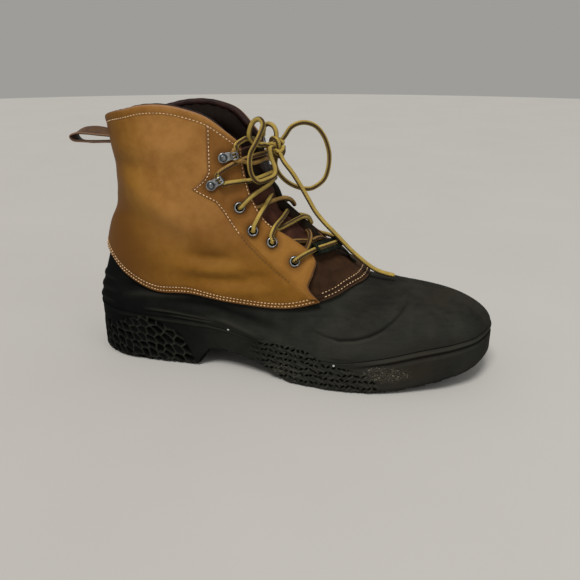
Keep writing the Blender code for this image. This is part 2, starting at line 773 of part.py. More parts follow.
def build_pull_loop(parts):
    """A strap folded back on itself behind the collar, both ends on the back seam."""
    half_width, thickness = 0.0065, 0.0018
    seam = float(layer(math.pi, 0.171, SHAFT_LAYER[1])[0]) - 2 * GAP
    middle = [
        (seam, 0.1742), (0.0110, 0.1768), (0.0000, 0.1776), (-0.0090, 0.1758),
        (-0.0147, 0.1712), (-0.0130, 0.1662), (-0.0060, 0.1630), (0.0040, 0.1630),
        (0.0120, 0.1645), (seam, 0.1662),
    ]
    middle = np.array(middle)
    run = np.gradient(middle, axis=0)
    run /= np.linalg.norm(run, axis=1, keepdims=True)
    run[0] = (-1.0, 0.0)
    run[-1] = (1.0, 0.0)
    out = np.column_stack([run[:, 1], -run[:, 0]]) * thickness / 2
    sheets = []
    for face in (middle - out, middle + out):
        rows = [np.column_stack([face[:, 0], np.full(len(face), y), face[:, 1]])
                for y in (-half_width, half_width)]
        sheets.append(np.array(rows))
    slab("pull_loop", sheets[0], sheets[1], "loop_leather", parts)


# ---------------------------------------------------------------- eyelets and hooks
def seat(hole, side, depth):
    """Place, outward normal and level direction towards the throat on the last at a hole."""
    angle, height = np.radians(hole.angle) * side, hole.height * SHAFT_HEIGHT
    point = layer(angle, height, depth)
    normal = Vector(last_normal(np.asarray(angle), np.asarray(height)))
    ahead = Vector(last_ring(angle - 0.01 * side, height) - last_ring(angle + 0.01 * side, height))
    ahead -= normal * ahead.dot(normal)
    return Vector(place(point)), normal.normalized(), ahead.normalized()


def frame_matrix(point, x_axis, z_axis):
    y_axis = z_axis.cross(x_axis)
    turn = Matrix((x_axis, y_axis, z_axis)).transposed().to_4x4()
    return Matrix.Translation(point) @ turn


def build_hole_cutter(cutters):
    """Round cutters through shaft and eyestay at every eyelet, joined in one object."""
    bm = bmesh.new()
    for hole in EYELETS:
        for _, side in SIDES:
            point, normal, ahead = seat(hole, side, 0.0)
            bmesh.ops.create_cone(
                bm, cap_ends=True, segments=10, radius1=0.0033, radius2=0.0033, depth=0.014,
                matrix=frame_matrix(point, ahead, normal),
            )
    mesh = bpy.data.meshes.new("lace_holes")
    bm.to_mesh(mesh)
    bm.free()
    obj = bpy.data.objects.new("lace_holes", mesh)
    cutters.objects.link(obj)
    return as_cutter(obj)


def eyelet_mesh():
    """A flanged ring turned about Z: the barrel reaches down into the hole."""
    profile = [
        (0.0025, -0.0030), (0.0029, -0.0030), (0.0029, 0.0003),
        (0.0046, 0.0003), (0.0039, EYELET_FLANGE), (0.0025, 0.0008),
    ]
    turns = 8
    rings = []
    for k in range(turns):
        a = 2 * math.pi * k / turns
        rings.append([(r * math.cos(a), r * math.sin(a), z) for r, z in profile])
    count = len(profile)
    faces = []
    for k in range(turns):
        for j in range(count):
            a, b = k * count + j, k * count + (j + 1) % count
            ahead = (k + 1) % turns * count
            c, d = ahead + (j + 1) % count, ahead + j
            faces.append((a, d, c, b))
    mesh = bpy.data.meshes.new("eyelet")
    mesh.from_pydata([p for ring in rings for p in ring], [], faces)
    bm = bmesh.new()
    bm.from_mesh(mesh)
    bmesh.ops.recalc_face_normals(bm, faces=bm.faces)
    bm.to_mesh(mesh)
    bm.free()
    mesh.shade_smooth()
    mesh.set_sharp_from_angle(angle=math.radians(35))
    mesh.materials.append(make_material("pewter"))
    return mesh


def build_eyelets(parts):
    mesh = eyelet_mesh()
    for hole in EYELETS:
        for side_name, side in SIDES:
            point, normal, ahead = seat(hole, side, EYESTAY_LAYER[1])
            obj = bpy.data.objects.new(f"{hole.name}_{side_name}", mesh)
            obj.matrix_world = frame_matrix(point, ahead, normal)
            parts.objects.link(obj)


def hook_mesh():
    """A riveted disc whose tongue runs towards the throat, stands up and curls back.

    In the hook's own axes X runs towards the throat and Z out of the leather.
    """
    base, thick, half = 0.0003, 0.0009, 0.0024
    run = [(0.0, base), (0.0062, base), (0.0080, base + 0.0010), (0.0084, base + 0.0034),
           (0.0070, base + 0.0052), (0.0040, base + 0.0054)]
    run = np.array(run)
    slope = np.gradient(run, axis=0)
    slope /= np.linalg.norm(slope, axis=1, keepdims=True)
    over = run + np.column_stack([-slope[:, 1], slope[:, 0]]) * thick
    profile = np.concatenate([run, over[::-1]])
    bm = bmesh.new()
    verts = [[bm.verts.new((x, y, z)) for x, z in profile] for y in (-half, half)]
    count = len(run)
    for k in range(count - 1):
        a, b, c, d = k, k + 1, 2 * count - 2 - k, 2 * count - 1 - k
        bm.faces.new([verts[0][i] for i in (a, b, c, d)])
        bm.faces.new([verts[1][i] for i in (d, c, b, a)])
    for k in range(2 * count):
        after = (k + 1) % (2 * count)
        bm.faces.new((verts[0][k], verts[1][k], verts[1][after], verts[0][after]))
    bmesh.ops.recalc_face_normals(bm, faces=bm.faces)
    mesh = bpy.data.meshes.new("hook")
    bm.to_mesh(mesh)
    bm.free()
    mesh.materials.append(make_material("pewter"))
    return mesh


def hook_disc_mesh():
    """The riveted disc: a plate with a domed rivet head."""
    profile = [(0.0, 0.00025), (0.0046, 0.00025), (0.0046, 0.0013), (0.0028, 0.0016),
               (0.0020, 0.0024), (0.0, 0.0027)]
    turns = 10
    bm = bmesh.new()
    low = bm.verts.new((0, 0, profile[0][1]))
    high = bm.verts.new((0, 0, profile[-1][1]))
    rings = []
    for r, z in profile[1:-1]:
        steps = [2 * math.pi * k / turns for k in range(turns)]
        rings.append([bm.verts.new((r * math.cos(a), r * math.sin(a), z)) for a in steps])
    for k in range(turns):
        after = (k + 1) % turns
        bm.faces.new((low, rings[0][after], rings[0][k]))
        bm.faces.new((high, rings[-1][k], rings[-1][after]))
        for lower, upper in zip(rings, rings[1:]):
            bm.faces.new((lower[k], lower[after], upper[after], upper[k]))
    bmesh.ops.recalc_face_normals(bm, faces=bm.faces)
    mesh = bpy.data.meshes.new("hook_disc")
    bm.to_mesh(mesh)
    bm.free()
    return mesh


def build_hooks(parts, cutters):
    tongue, disc = hook_mesh(), hook_disc_mesh()
    for hole in HOOKS:
        for side_name, side in SIDES:
            point, normal, ahead = seat(hole, side, EYESTAY_LAYER[1])
            lean = Matrix.Rotation(math.radians(hole.lean) * side, 3, normal)
            matrix = frame_matrix(point, lean @ ahead, normal)
            hook = bpy.data.objects.new(f"{hole.name}_{side_name}", tongue)
            plate = bpy.data.objects.new(f"plate_{hole.name}_{side_name}", disc)
            hook.matrix_world = matrix
            plate.matrix_world = matrix
            parts.objects.link(hook)
            cutters.objects.link(plate)
            boolean(hook, as_cutter(plate), "UNION")


# ---------------------------------------------------------------- lace
def curve_through(points, count):
    """Smooth curve through points in space, read at even shares of its knots."""
    points = np.asarray(points, float)
    gaps = np.linalg.norm(np.diff(points, axis=0), axis=1)
    knots = np.concatenate([[0], np.cumsum(np.sqrt(gaps))])
    at = np.linspace(0, knots[-1], count)
    return np.column_stack([through(knots, points[:, k], at) for k in range(3)])


def lace_rest(hole, leaving):
    """Ring angle and height of the lace at a hole: over an eyelet, or in front of a hook's neck."""
    height = hole.height * SHAFT_HEIGHT
    if hole in EYELETS:
        return math.radians(hole.angle), height
    apart = LACE_RADIUS + 2 * GAP
    rise = HOOK_REACH * math.sin(math.radians(hole.lean)) + (apart if leaving else -apart)
    return math.radians(hole.angle - HOOK_CLEAR_ANGLE), height + rise


def on_floor(height):
    """Depth of a lace that lies on the vamp low in the throat and on the tongue above it."""
    above = smooth(VAMP_TOP + 0.001, VAMP_TOP + 0.007, height)
    surface = VAMP_LAYER[1] + (TONGUE_LAYER[1] - VAMP_LAYER[1]) * above
    return float(surface) + 3 * GAP + LACE_RADIUS


def crossing(lower, upper, side):
    """One strand: from a hole over the shaft's edge and across the tongue to the other side.

    There it stops short of the far edge below an eyelet, or climbs over the edge to a hook. The
    lowest strand starts below its eyelet too, because the bar comes in from outside there.
    """
    on_hole = EYESTAY_LAYER[1] + EYELET_FLANGE + 2 * GAP + LACE_RADIUS
    on_edge = EYESTAY_LAYER[1] + 2 * GAP + LACE_RADIUS
    from_edge = math.radians(8.0)
    start_angle, start = lace_rest(lower, True)
    end_angle, end = lace_rest(upper, False)
    rise = end - start
    edge = float(angle_by_height(THROAT, start + 0.2 * rise))
    far_edge = float(angle_by_height(THROAT, start + 0.8 * rise))
    hole_depth = on_hole if lower in EYELETS else on_edge
    rows = [
        (start_angle, 0.00, hole_depth),
        ((start_angle + edge) / 2, 0.10, on_hole),
        (edge, 0.20, on_edge + 0.0005),
        (edge - from_edge, 0.28, on_edge - 0.0002),
        (edge - 2.5 * from_edge, 0.38, on_floor(start + 0.38 * rise) + 0.0022),
        (0.0, 0.50, on_floor(start + 0.50 * rise) + 0.0002),
    ]
    if lower is EYELETS[0]:
        rows[:5] = [
            (edge - 0.9 * from_edge, 0.26, on_floor(start + 0.26 * rise)),
            (edge - 2.5 * from_edge, 0.38, on_floor(start + 0.38 * rise)),
        ]
    if upper in EYELETS:
        rows += [
            (-(far_edge - 2.5 * from_edge), 0.64, on_floor(start + 0.64 * rise)),
            (-(far_edge - 0.9 * from_edge), 0.74, on_floor(start + 0.74 * rise)),
        ]
    else:
        rows += [
            (-(far_edge - 2.5 * from_edge), 0.62, on_floor(start + 0.62 * rise) + 0.0022),
            (-(far_edge - from_edge), 0.74, on_edge - 0.0002),
            (-far_edge, 0.84, on_edge + 0.0005),
            (-end_angle, 1.00, on_edge),
        ]
    return [layer(side * a, start + share * rise, depth) for a, share, depth in rows]


def as_mesh(obj, collection):
    """The curve object as a mesh object in its place, with its end caps welded on."""
    depsgraph = bpy.context.evaluated_depsgraph_get()
    mesh = bpy.data.meshes.new_from_object(obj.evaluated_get(depsgraph))
    bm = bmesh.new()
    bm.from_mesh(mesh)
    bmesh.ops.remove_doubles(bm, verts=bm.verts, dist=1e-6)
    bm.to_mesh(mesh)
    bm.free()
    name = obj.name
    matrix = obj.matrix_world.copy()
    bpy.data.objects.remove(obj)
    solid = bpy.data.objects.new(name, mesh)
    solid.matrix_world = matrix
    collection.objects.link(solid)
    return solid


def build_crossings(parts, cutters):
    """Each pair of strands that cross over the tongue is one solid."""
    places = EYELETS + HOOKS
    for k, (lower, upper) in enumerate(zip(places, places[1:]), start=1):
        strands = []
        for side_name, side in SIDES:
            path = curve_through(crossing(lower, upper, side), 10)
            name = f"lace_crossing_{k}" if side == 1 else f"strand_{k}_{side_name}"
            group = parts if side == 1 else cutters
            cord = tube(name, path, LACE_RADIUS, "yellow_lace", group)
            bpy.context.view_layer.update()
            strands.append(as_mesh(cord, group))
        boolean(strands[0], as_cutter(strands[1]), "UNION")


def lace_bar(angle):
    """The lowest strand at ring angles: from one lowest eyelet over the vamp to the other."""
    hole = EYELETS[0]
    on_hole = EYESTAY_LAYER[1] + EYELET_FLANGE + GAP + LACE_RADIUS
    share = 1 - (angle / math.radians(hole.angle)) ** 2
    return layer(angle, hole.height * SHAFT_HEIGHT + BAR_RISE * share, on_hole)


def build_bar(parts):
    """The lowest strand and the webbing keeper that is wrapped round a stretch of it."""
    reach = math.radians(EYELETS[0].angle)
    tube("lace_bar", lace_bar(np.linspace(reach, -reach, 15)), LACE_RADIUS, "yellow_lace", parts)

    wall, sides = 0.0012, 8
    angle = np.radians(np.linspace(*KEEPER_ANGLES, 3))
    middle = lace_bar(angle)
    run = np.gradient(middle, axis=0)
    run /= np.linalg.norm(run, axis=1, keepdims=True)
    out = last_normal(angle, middle[:, 2])
    out -= run * (out * run).sum(axis=1, keepdims=True)
    out /= np.linalg.norm(out, axis=1, keepdims=True)
    across = np.cross(run, out)
    turn = np.linspace(0, 2 * math.pi, sides, endpoint=False)[:, None]
    hole = LACE_RADIUS * 1.15 + GAP
    outside = [m + (o * np.cos(turn) + a * np.sin(turn)) * (hole + wall)
               for m, o, a in zip(middle, out, across)]
    inside = [m + (o * np.cos(turn) + a * np.sin(turn)) * hole
              for m, o, a in zip(middle, out, across)]
    closed_wall("lace_keeper", outside + inside[::-1], "keeper_webbing", parts)


def from_knot(point):
    """Where a strand towards point leaves the knot's skin."""
    away = np.array(point) - KNOT_CENTRE
    away /= np.linalg.norm(away)
    reach = 1 / np.linalg.norm(away / KNOT_HALF_SIZE)
    return KNOT_CENTRE + away * (reach + 2 * GAP)


def build_knot(parts):
    turns, levels = 10, 6
    bm = bmesh.new()
    bmesh.ops.create_uvsphere(bm, u_segments=turns, v_segments=levels, radius=1.0)
    mesh = bpy.data.meshes.new("lace_knot")
    bm.to_mesh(mesh)
    bm.free()
    mesh.transform(Matrix.Translation(place(KNOT_CENTRE)) @ Matrix.Diagonal((*KNOT_HALF_SIZE, 1.0)))
    mesh.shade_smooth()
    mesh.materials.append(make_material("yellow_lace"))
    parts.objects.link(bpy.data.objects.new("lace_knot", mesh))


def build_bow(parts):
    """Knot, both loops, the free end and the two ties from the upper hooks, each its own cord."""
    build_knot(parts)
    for strand in BOW:
        route = [tuple(p) for p in strand.route]
        if strand.start == "knot":
            route.insert(0, tuple(from_knot(route[0])))
        else:
            side = dict(SIDES)[strand.start]
            angle, height = lace_rest(HOOKS[-1], True)
            on_edge = EYESTAY_LAYER[1] + 4 * GAP + LACE_RADIUS
            route.insert(0, tuple(layer(side * angle, height, on_edge)))
        if strand.end == "knot":
            route.append(tuple(from_knot(route[-1])))
        path = curve_through(route, strand.count)
        tube(strand.name, path, LACE_RADIUS, "yellow_lace", parts, resolution=2)


def main():
    clear_scene()
    parts = new_collection("steel_toe_boot")
    cutters = new_collection("cutters")
    holes = build_hole_cutter(cutters)
    build_outsole(parts, cutters)
    build_shell(parts)
    build_insole(parts)
    build_shaft(parts, holes)
    build_eyestays(parts, holes)
    build_vamp(parts)
    build_tongue(parts)
    build_collar_rim(parts)
    build_pull_loop(parts)
    build_eyelets(parts)
    build_hooks(parts, cutters)
    build_crossings(parts, cutters)
    build_bar(parts)
    build_bow(parts)


main()
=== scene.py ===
"""Looks of the insulated pac boot: rubber bottom, leather upper, lining, stitching and lace.

The boot's solids are the frame. The tables and formulas of the last are repeated here so that
every surface lies where its solid lies. Lengths are in metres. A station is counted along the
foot from the back of the heel, and place() carries it into the frame.
"""

import math
from collections import namedtuple

import bpy
import numpy as np
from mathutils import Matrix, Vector


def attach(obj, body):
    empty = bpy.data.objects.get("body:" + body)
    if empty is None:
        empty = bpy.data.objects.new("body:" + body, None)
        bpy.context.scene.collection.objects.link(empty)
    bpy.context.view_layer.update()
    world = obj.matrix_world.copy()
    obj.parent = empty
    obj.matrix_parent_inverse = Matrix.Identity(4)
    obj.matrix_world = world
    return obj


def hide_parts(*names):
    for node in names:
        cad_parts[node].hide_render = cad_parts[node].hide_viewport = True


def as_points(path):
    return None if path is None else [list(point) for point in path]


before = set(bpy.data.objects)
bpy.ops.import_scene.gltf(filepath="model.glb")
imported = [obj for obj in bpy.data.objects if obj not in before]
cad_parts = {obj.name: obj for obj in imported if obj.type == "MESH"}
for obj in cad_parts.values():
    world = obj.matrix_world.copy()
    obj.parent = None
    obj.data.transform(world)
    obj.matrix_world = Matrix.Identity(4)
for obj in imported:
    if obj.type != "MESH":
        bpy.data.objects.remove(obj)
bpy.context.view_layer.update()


def tenths(rows):
    """Lengths written as tenths of a millimetre, in metres."""
    return np.array(rows) / 10000


# ---------------------------------------------------------------- the last and its tables
SOLE_LENGTH, BALL_WIDTH, SHAFT_HEIGHT, SHAFT_WIDTH = 0.318, 0.1155, 0.1995, 0.089
HEEL_X, AXIS_Y, HEEL_BREAST = -0.15133, 0.00293, 0.0165
LACE_RADIUS, GAP = 0.00175, 0.0003
SHAFT_LAYER = (-0.0007, 0.0018)
EYESTAY_LAYER = (0.0024, 0.0036)
VAMP_LAYER = (-0.0041, -0.0021)
TONGUE_LAYER = (-0.0075, -0.0045)
VAMP_TOP, RIM_WIDTH = 0.0940, 0.0055
KNOT_CENTRE = np.array([0.1500, 0.0, 0.1668])
KNOT_HALF_SIZE = np.array([0.0072, 0.0070, 0.0085])

Station = namedtuple("Station", "along lateral medial ring_angle welt edge collar")
STATIONS = [Station(*row) for row in (
    (0.000, 0.000, 0.000, 180.0, 0.211, 0.441, 0.940),
    (0.022, 0.216, 0.212, 153.0, 0.208, 0.413, 0.952),
    (0.094, 0.342, 0.333, 134.0, 0.203, 0.343, 0.967),
    (0.189, 0.372, 0.355, 118.0, 0.198, 0.301, 0.979),
    (0.283, 0.372, 0.338, 101.0, 0.189, 0.307, 0.996),
    (0.377, 0.390, 0.325, 88.7, 0.170, 0.285, 0.999),
    (0.472, 0.437, 0.346, 74.6, 0.140, 0.273, 0.985),
    (0.566, 0.498, 0.398, 60.0, 0.120, 0.294, 0.957),
    (0.660, 0.528, 0.455, 46.5, 0.118, 0.322, 0.905),
    (0.755, 0.502, 0.476, 36.3, 0.143, 0.345, 0.865),
    (0.840, 0.433, 0.433, 27.9, 0.170, 0.357, 0.850),
    (0.912, 0.352, 0.370, 19.6, 0.185, 0.364, 0.845),
    (0.969, 0.220, 0.262, 11.0, 0.195, 0.370, 0.842),
    (1.000, -0.030, 0.030, 0.0, 0.2005, 0.373, 0.842))]
RING_TABLE = np.array([
    (0.251, 0.0090, 0.7990, 0.492), (0.311, 0.0160, 0.7520, 0.488), (0.371, 0.0240, 0.7080, 0.483),
    (0.426, 0.0300, 0.6590, 0.476), (0.476, 0.0380, 0.6180, 0.467), (0.536, 0.0500, 0.5710, 0.458),
    (0.596, 0.0660, 0.5270, 0.452), (0.662, 0.0740, 0.4910, 0.449), (0.767, 0.0755, 0.4590, 0.461),
    (0.877, 0.0720, 0.4390, 0.483), (1.003, 0.0660, 0.4245, 0.500)])
THROAT = np.array([
    (0.301, 58.5), (0.361, 57.5), (0.401, 49.5), (0.446, 39.5), (0.476, 38.0), (0.521, 40.5),
    (0.571, 46.0), (0.652, 45.0), (0.752, 42.0), (0.862, 37.5)])
THROAT_LOW, THROAT_HIGH = THROAT[[0, -1], 0] * SHAFT_HEIGHT
EYESTAY_BACK = np.array([
    (0.310, 63.0), (0.418, 66.8), (0.523, 69.5), (0.632, 69.7), (0.668, 71.5), (0.709, 82.5),
    (0.745, 73.5), (0.774, 69.0), (0.834, 66.0), (0.925, 62.0), (0.955, 60.5)])
Hole = namedtuple("Hole", "name height angle lean")
EYELETS = [Hole("eyelet_1", 0.445, 52.4, 0.0), Hole("eyelet_2", 0.515, 54.7, 0.0),
           Hole("eyelet_3", 0.558, 59.9, 0.0), Hole("eyelet_4", 0.641, 57.9, 0.0)]
HOOKS = [Hole("hook_1", 0.725, 69.4, 32.0), Hole("hook_2", 0.820, 55.2, 12.0)]
SIDES = (("lateral", 1), ("medial", -1))
ROUND = 2 * (len(STATIONS) - 1)

# The bow's strands: start, end and route. This table's places and those of the next three
# are (station, across, height) in tenths of a millimetre.
BOW = {
    "lace_loop_near": ("knot", "knot", [(1412, -70, 1693), (1411, -160, 1700), (1388, -240, 1733),
        (1372, -280, 1778), (1386, -300, 1834), (1418, -312, 1884), (1462, -330, 1899), (1492, -356, 1868),
        (1477, -380, 1808), (1448, -392, 1745), (1411, -390, 1680), (1400, -390, 1604), (1411, -370, 1520),
        (1445, -340, 1472), (1498, -290, 1481), (1538, -230, 1502), (1534, -190, 1545), (1503, -165, 1610),
        (1483, -128, 1672)]),
    "lace_loop_far": ("knot", "knot", [(1560, 28, 1750), (1600, 42, 1808), (1660, 70, 1837),
        (1713, 90, 1837), (1775, 110, 1811), (1831, 130, 1741), (1863, 140, 1657), (1875, 140, 1586),
        (1868, 130, 1492), (1841, 120, 1418), (1778, 100, 1364), (1732, 80, 1349), (1654, 60, 1361),
        (1573, 40, 1402), (1513, 20, 1468), (1490, 0, 1536)]),
    "lace_end": ("knot", "tip", [(1572, -75, 1574), (1636, -90, 1502), (1702, -105, 1411),
        (1763, -120, 1319), (1819, -112, 1222), (1885, -104, 1141), (1960, -96, 1065), (2024, -88, 998),
        (2088, -80, 932), (2151, -66, 873), (2213, -52, 819), (2274, -38, 776), (2343, -24, 748),
        (2425, -10, 727)]),
    "lace_tie_lateral": ("lateral", "knot", [(1300, -372, 1722), (1330, -288, 1752), (1334, -180, 1746),
        (1366, -80, 1725), (1398, 28, 1675)]),
    "lace_tie_medial": ("medial", "knot", [(1302, 372, 1722), (1330, 288, 1762), (1348, 150, 1782),
        (1384, 70, 1806), (1432, 28, 1830), (1478, 0, 1815), (1499, -10, 1778)]),
}
# The lowest strand's places between its eyelets, and where the keeper's sleeve begins and ends.
BAR = [(1764, -345, 944), (1811, -303, 965), (1858, -240, 976), (1922, -160, 983), (1978, -50, 982),
       (1972, 70, 968), (1925, 180, 952), (1868, 270, 940), (1800, 345, 930)]
KEEPER_ENDS = [(1846, -258, 974), (1990, -30, 984)]
# The strands' places: number from below and the side where each starts.
STRANDS = {
    (1, 1): [(1740, -270, 925), (1765, -163, 947), (1776, -80, 1004), (1748, 22, 1026), (1700, 160, 1000),
        (1600, 290, 1015)],
    (1, -1): [(1790, 320, 890), (1815, 200, 930), (1800, 90, 958), (1775, -31, 970), (1705, -162, 1002),
        (1620, -262, 1020)],
    (2, 1): [(1546, -367, 1085), (1557, -340, 1134), (1567, -255, 1156), (1569, -150, 1158),
        (1566, -29, 1162), (1556, 108, 1161), (1510, 225, 1138), (1450, 300, 1125)],
    (2, -1): [(1724, 246, 1040), (1706, 205, 1088), (1680, 135, 1114), (1650, 50, 1114), (1610, -76, 1107),
        (1559, -202, 1099), (1490, -278, 1100)],
    (3, 1): [(1423, -390, 1156), (1440, -370, 1198), (1456, -325, 1240), (1462, -210, 1268),
        (1462, -90, 1294), (1458, 8, 1314), (1425, 150, 1300), (1375, 270, 1290)],
    (3, -1): [(1593, 205, 1192), (1582, 120, 1248), (1550, 70, 1272), (1503, 10, 1272), (1457, -115, 1268),
        (1417, -208, 1256), (1370, -280, 1265)],
    (4, 1): [(1352, -372, 1323), (1379, -345, 1352), (1402, -250, 1370), (1430, -150, 1386),
        (1454, -70, 1402), (1458, 50, 1418), (1425, 180, 1428)],
    (4, -1): [(1410, 240, 1390), (1462, 120, 1442), (1475, 20, 1474), (1455, -86, 1480), (1415, -160, 1468),
        (1372, -248, 1462), (1322, -355, 1472)],
    (5, 1): [(1255, -385, 1583), (1330, -325, 1618), (1381, -190, 1628), (1412, -30, 1624),
        (1392, 140, 1618)],
    (5, -1): [(1360, 220, 1520), (1405, 100, 1560), (1415, -49, 1586), (1392, -155, 1580),
        (1358, -250, 1587)],
}


# ---------------------------------------------------------------- curves and the last's surfaces
def through(knots, values, at):
    """Smooth curve through (knots, values): cubic pieces whose slopes are central differences."""
    knots, values = np.asarray(knots, float), np.asarray(values, float)
    at = np.clip(np.asarray(at, float), knots[0], knots[-1])
    slopes = np.gradient(values, knots)
    k = np.clip(np.searchsorted(knots, at, side="right") - 1, 0, len(knots) - 2)
    width = knots[k + 1] - knots[k]
    t = (at - knots[k]) / width
    rise = 3 * t**2 - 2 * t**3
    leave, arrive = (t**3 - 2 * t**2 + t) * width, (t**3 - t**2) * width
    return (1 - rise) * values[k] + rise * values[k + 1] + leave * slopes[k] + arrive * slopes[k + 1]


def smooth(low, high, value):
    """Rises from 0 at low to 1 at high as 3t^2 - 2t^3."""
    t = np.clip((np.asarray(value, float) - low) / (high - low), 0.0, 1.0)
    return t * t * (3 - 2 * t)


def bell(distance, width):
    """1 on the line and falling off as exp(-(d/w)^2) to both sides."""
    return np.exp(-(distance / width) ** 2)


def unit(vectors):
    """Vectors of the same direction and of length one."""
    return vectors / np.linalg.norm(vectors, axis=-1, keepdims=True)


def lengths(path):
    """Length along a path at each of its points."""
    return np.concatenate([[0], np.cumsum(np.linalg.norm(np.diff(path, axis=0), axis=1))])


def full_turn(count):
    """Angles evenly round one turn."""
    return np.linspace(0, 2 * math.pi, count, endpoint=False)


def wrapped(angle):
    """The angle from -pi to pi."""
    return np.arctan2(np.sin(angle), np.cos(angle))


def from_front(angle):
    """How far an angle is turned from the front, 0 to pi."""
    return np.abs(wrapped(angle))


def column(name):
    """One value of every station."""
    return [getattr(s, name) for s in STATIONS]


def around(lateral, medial, u, turn=0.0):
    """Closed curve through a value for each station: lateral side down, medial side back up."""
    one = list(lateral) + list(medial[-2:0:-1])
    values = np.array([v - turn for v in one] + one + [v + turn for v in one])
    return through(np.arange(-ROUND, 2 * ROUND) / ROUND, values, u)


def same_both_sides(name, u):
    return around(column(name), column(name), u)


def ring_angle(u):
    angles = column("ring_angle")
    return np.radians(around(angles, [-a for a in angles], u, turn=-360.0))


def outline(u, inset):
    """Plan of the sole moved inwards by inset along its own normal."""
    def point(at):
        return np.stack([SOLE_LENGTH * same_both_sides("along", at),
                         BALL_WIDTH * around([-v for v in column("lateral")], column("medial"), at)], -1)
    run = unit(point(u + 1e-4) - point(u - 1e-4))
    return point(u) + np.stack([-run[..., 1], run[..., 0]], -1) * np.asarray(inset)[..., None]


def last_ring(angle, height):
    """At each height a superellipse of power 2.25 between back and front."""
    heights = RING_TABLE[:, 0] * SHAFT_HEIGHT
    back = through(heights, RING_TABLE[:, 1] * SOLE_LENGTH, height)
    front = through(heights, RING_TABLE[:, 2] * SOLE_LENGTH, height)
    half_width = through(heights, RING_TABLE[:, 3] * SHAFT_WIDTH, height)
    c, s, power = np.cos(angle), np.sin(angle), 2 / 2.25
    x = (back + front) / 2 + (front - back) / 2 * np.sign(c) * np.abs(c) ** power
    y = 0.0045 * smooth(0.100, 0.225, x) - half_width * np.sign(s) * np.abs(s) ** power
    return np.stack(np.broadcast_arrays(x, y, height), -1)


def last_normal(angle, height):
    """Cross product of the last's two slopes, pointing outwards."""
    return unit(np.cross(last_ring(angle - 1e-3, height) - last_ring(angle + 1e-3, height),
                         last_ring(angle, height + 1e-4) - last_ring(angle, height - 1e-4)))


def layer(angle, height, depth):
    """A point on the last moved outwards by depth."""
    angle, height = np.broadcast_arrays(np.asarray(angle, float), np.asarray(height, float))
    return last_ring(angle, height) + last_normal(angle, height) * np.asarray(depth)[..., None]


def angle_by_height(table, height):
    return np.radians(through(table[:, 0] * SHAFT_HEIGHT, table[:, 1], height))


def height_at(name, angle):
    """Height of a station column where the ring angle is angle, the same on both sides."""
    return through(np.radians(column("ring_angle"))[::-1],
                   SHAFT_HEIGHT * np.array(column(name))[::-1], np.abs(angle))


def collar_at(angle):
    """Height of the collar's edge: that of the last's stations, dipping a little inside behind."""
    inner = smooth(0.0, 0.45, -np.sin(angle)) * (1 - 0.5 * smooth(-0.2, 0.6, np.cos(angle)))
    return height_at("collar", wrapped(angle)) - 0.0024 * inner


def place(points):
    """From stations along the foot into the frame."""
    return np.asarray(points, float) + np.array([HEEL_X, AXIS_Y, 0.0])


def read(table, at, **beyond):
    """A table's value at a place, on straight lines between its rows."""
    return np.interp(at, table[:, 0], table[:, 1], **beyond)


def side_of(angle):
    """+1 on the lateral side, -1 on the medial side."""
    return np.where(np.sin(angle) >= 0, 1.0, -1.0)


def line_distance(x, z, line):
    """Distance in side view from each (x, z) to a polyline, and how far along it lies, 0 to 1."""
    line = np.asarray(line, float)
    best, where = np.full(np.shape(x), 1e9), np.zeros(np.shape(x))
    for k, (a, b) in enumerate(zip(line, line[1:])):
        run = b - a
        t = np.clip(((x - a[0]) * run[0] + (z - a[1]) * run[1]) / (run @ run), 0, 1)
        d = np.hypot(x - a[0] - t * run[0], z - a[1] - t * run[1])
        where = np.where(d < best, (k + t) / (len(line) - 1), where)
        best = np.minimum(best, d)
    return best, where


# Soft folds of the leather: side (+1 lateral, -1 medial, 0 both), width, height outwards
# and the fold's line in side view (station, height), all in tenths of a millimetre.
Fold = namedtuple("Fold", "side width rise line")
FOLDS = [
    Fold(1, 90, 21, [(340, 1500), (520, 1390), (740, 1240), (980, 1100), (1120, 1040)]),
    Fold(1, 110, -24, [(220, 1220), (480, 1140), (720, 1040), (920, 960)]),
    Fold(1, 42, -20, [(900, 930), (1080, 905), (1300, 910)]),
    Fold(1, 48, 20, [(820, 830), (1080, 820), (1400, 835)]),
    Fold(1, 40, -18, [(920, 745), (1220, 740), (1500, 765)]),
    Fold(1, 45, 16, [(1040, 665), (1320, 660), (1580, 690)]),
    Fold(1, 28, -14, [(1500, 905), (1580, 820), (1700, 720)]),
    Fold(1, 24, -7, [(1280, 830), (1420, 790), (1580, 790)]),
    Fold(1, 140, -14, [(120, 1760), (300, 1500), (260, 1280)]),
    Fold(-1, 90, 20, [(420, 1380), (720, 1220), (1060, 1060)]),
    Fold(-1, 100, -22, [(340, 1200), (640, 1040), (940, 950)]),
    Fold(-1, 48, -14, [(980, 860), (1220, 840), (1460, 850)]),
    Fold(-1, 45, 12, [(940, 760), (1200, 750), (1520, 770)]),
    Fold(0, 65, -10, [(200, 1500), (450, 1560), (780, 1520)]),
    Fold(0, 85, 10, [(260, 1660), (600, 1720), (980, 1680)]),
]
# By height: how far the inner flap's front edge stands away from the tongue, how deep the tongue
# is sunk, and at which angle in degrees its fold runs.
FLAP_FLARE = tenths([(780, 0), (880, -16), (980, -30), (1060, -22), (1140, -8), (1240, 4), (1340, 0),
                     (1480, -4), (1600, 0)])
TONGUE_SINK = tenths([(890, 0), (935, 12), (985, 58), (1050, 72), (1160, 78), (1260, 80), (1330, 52),
                      (1400, 26), (1470, 12), (1720, 2)])
TONGUE_FOLD = np.array([(0.0900, -22.0), (0.1000, -19.0), (0.1120, -17.0), (0.1225, -15.0), (0.1300, -9.0),
                        (0.1360, -4.0), (0.1420, -1.0), (0.1500, 1.0)])


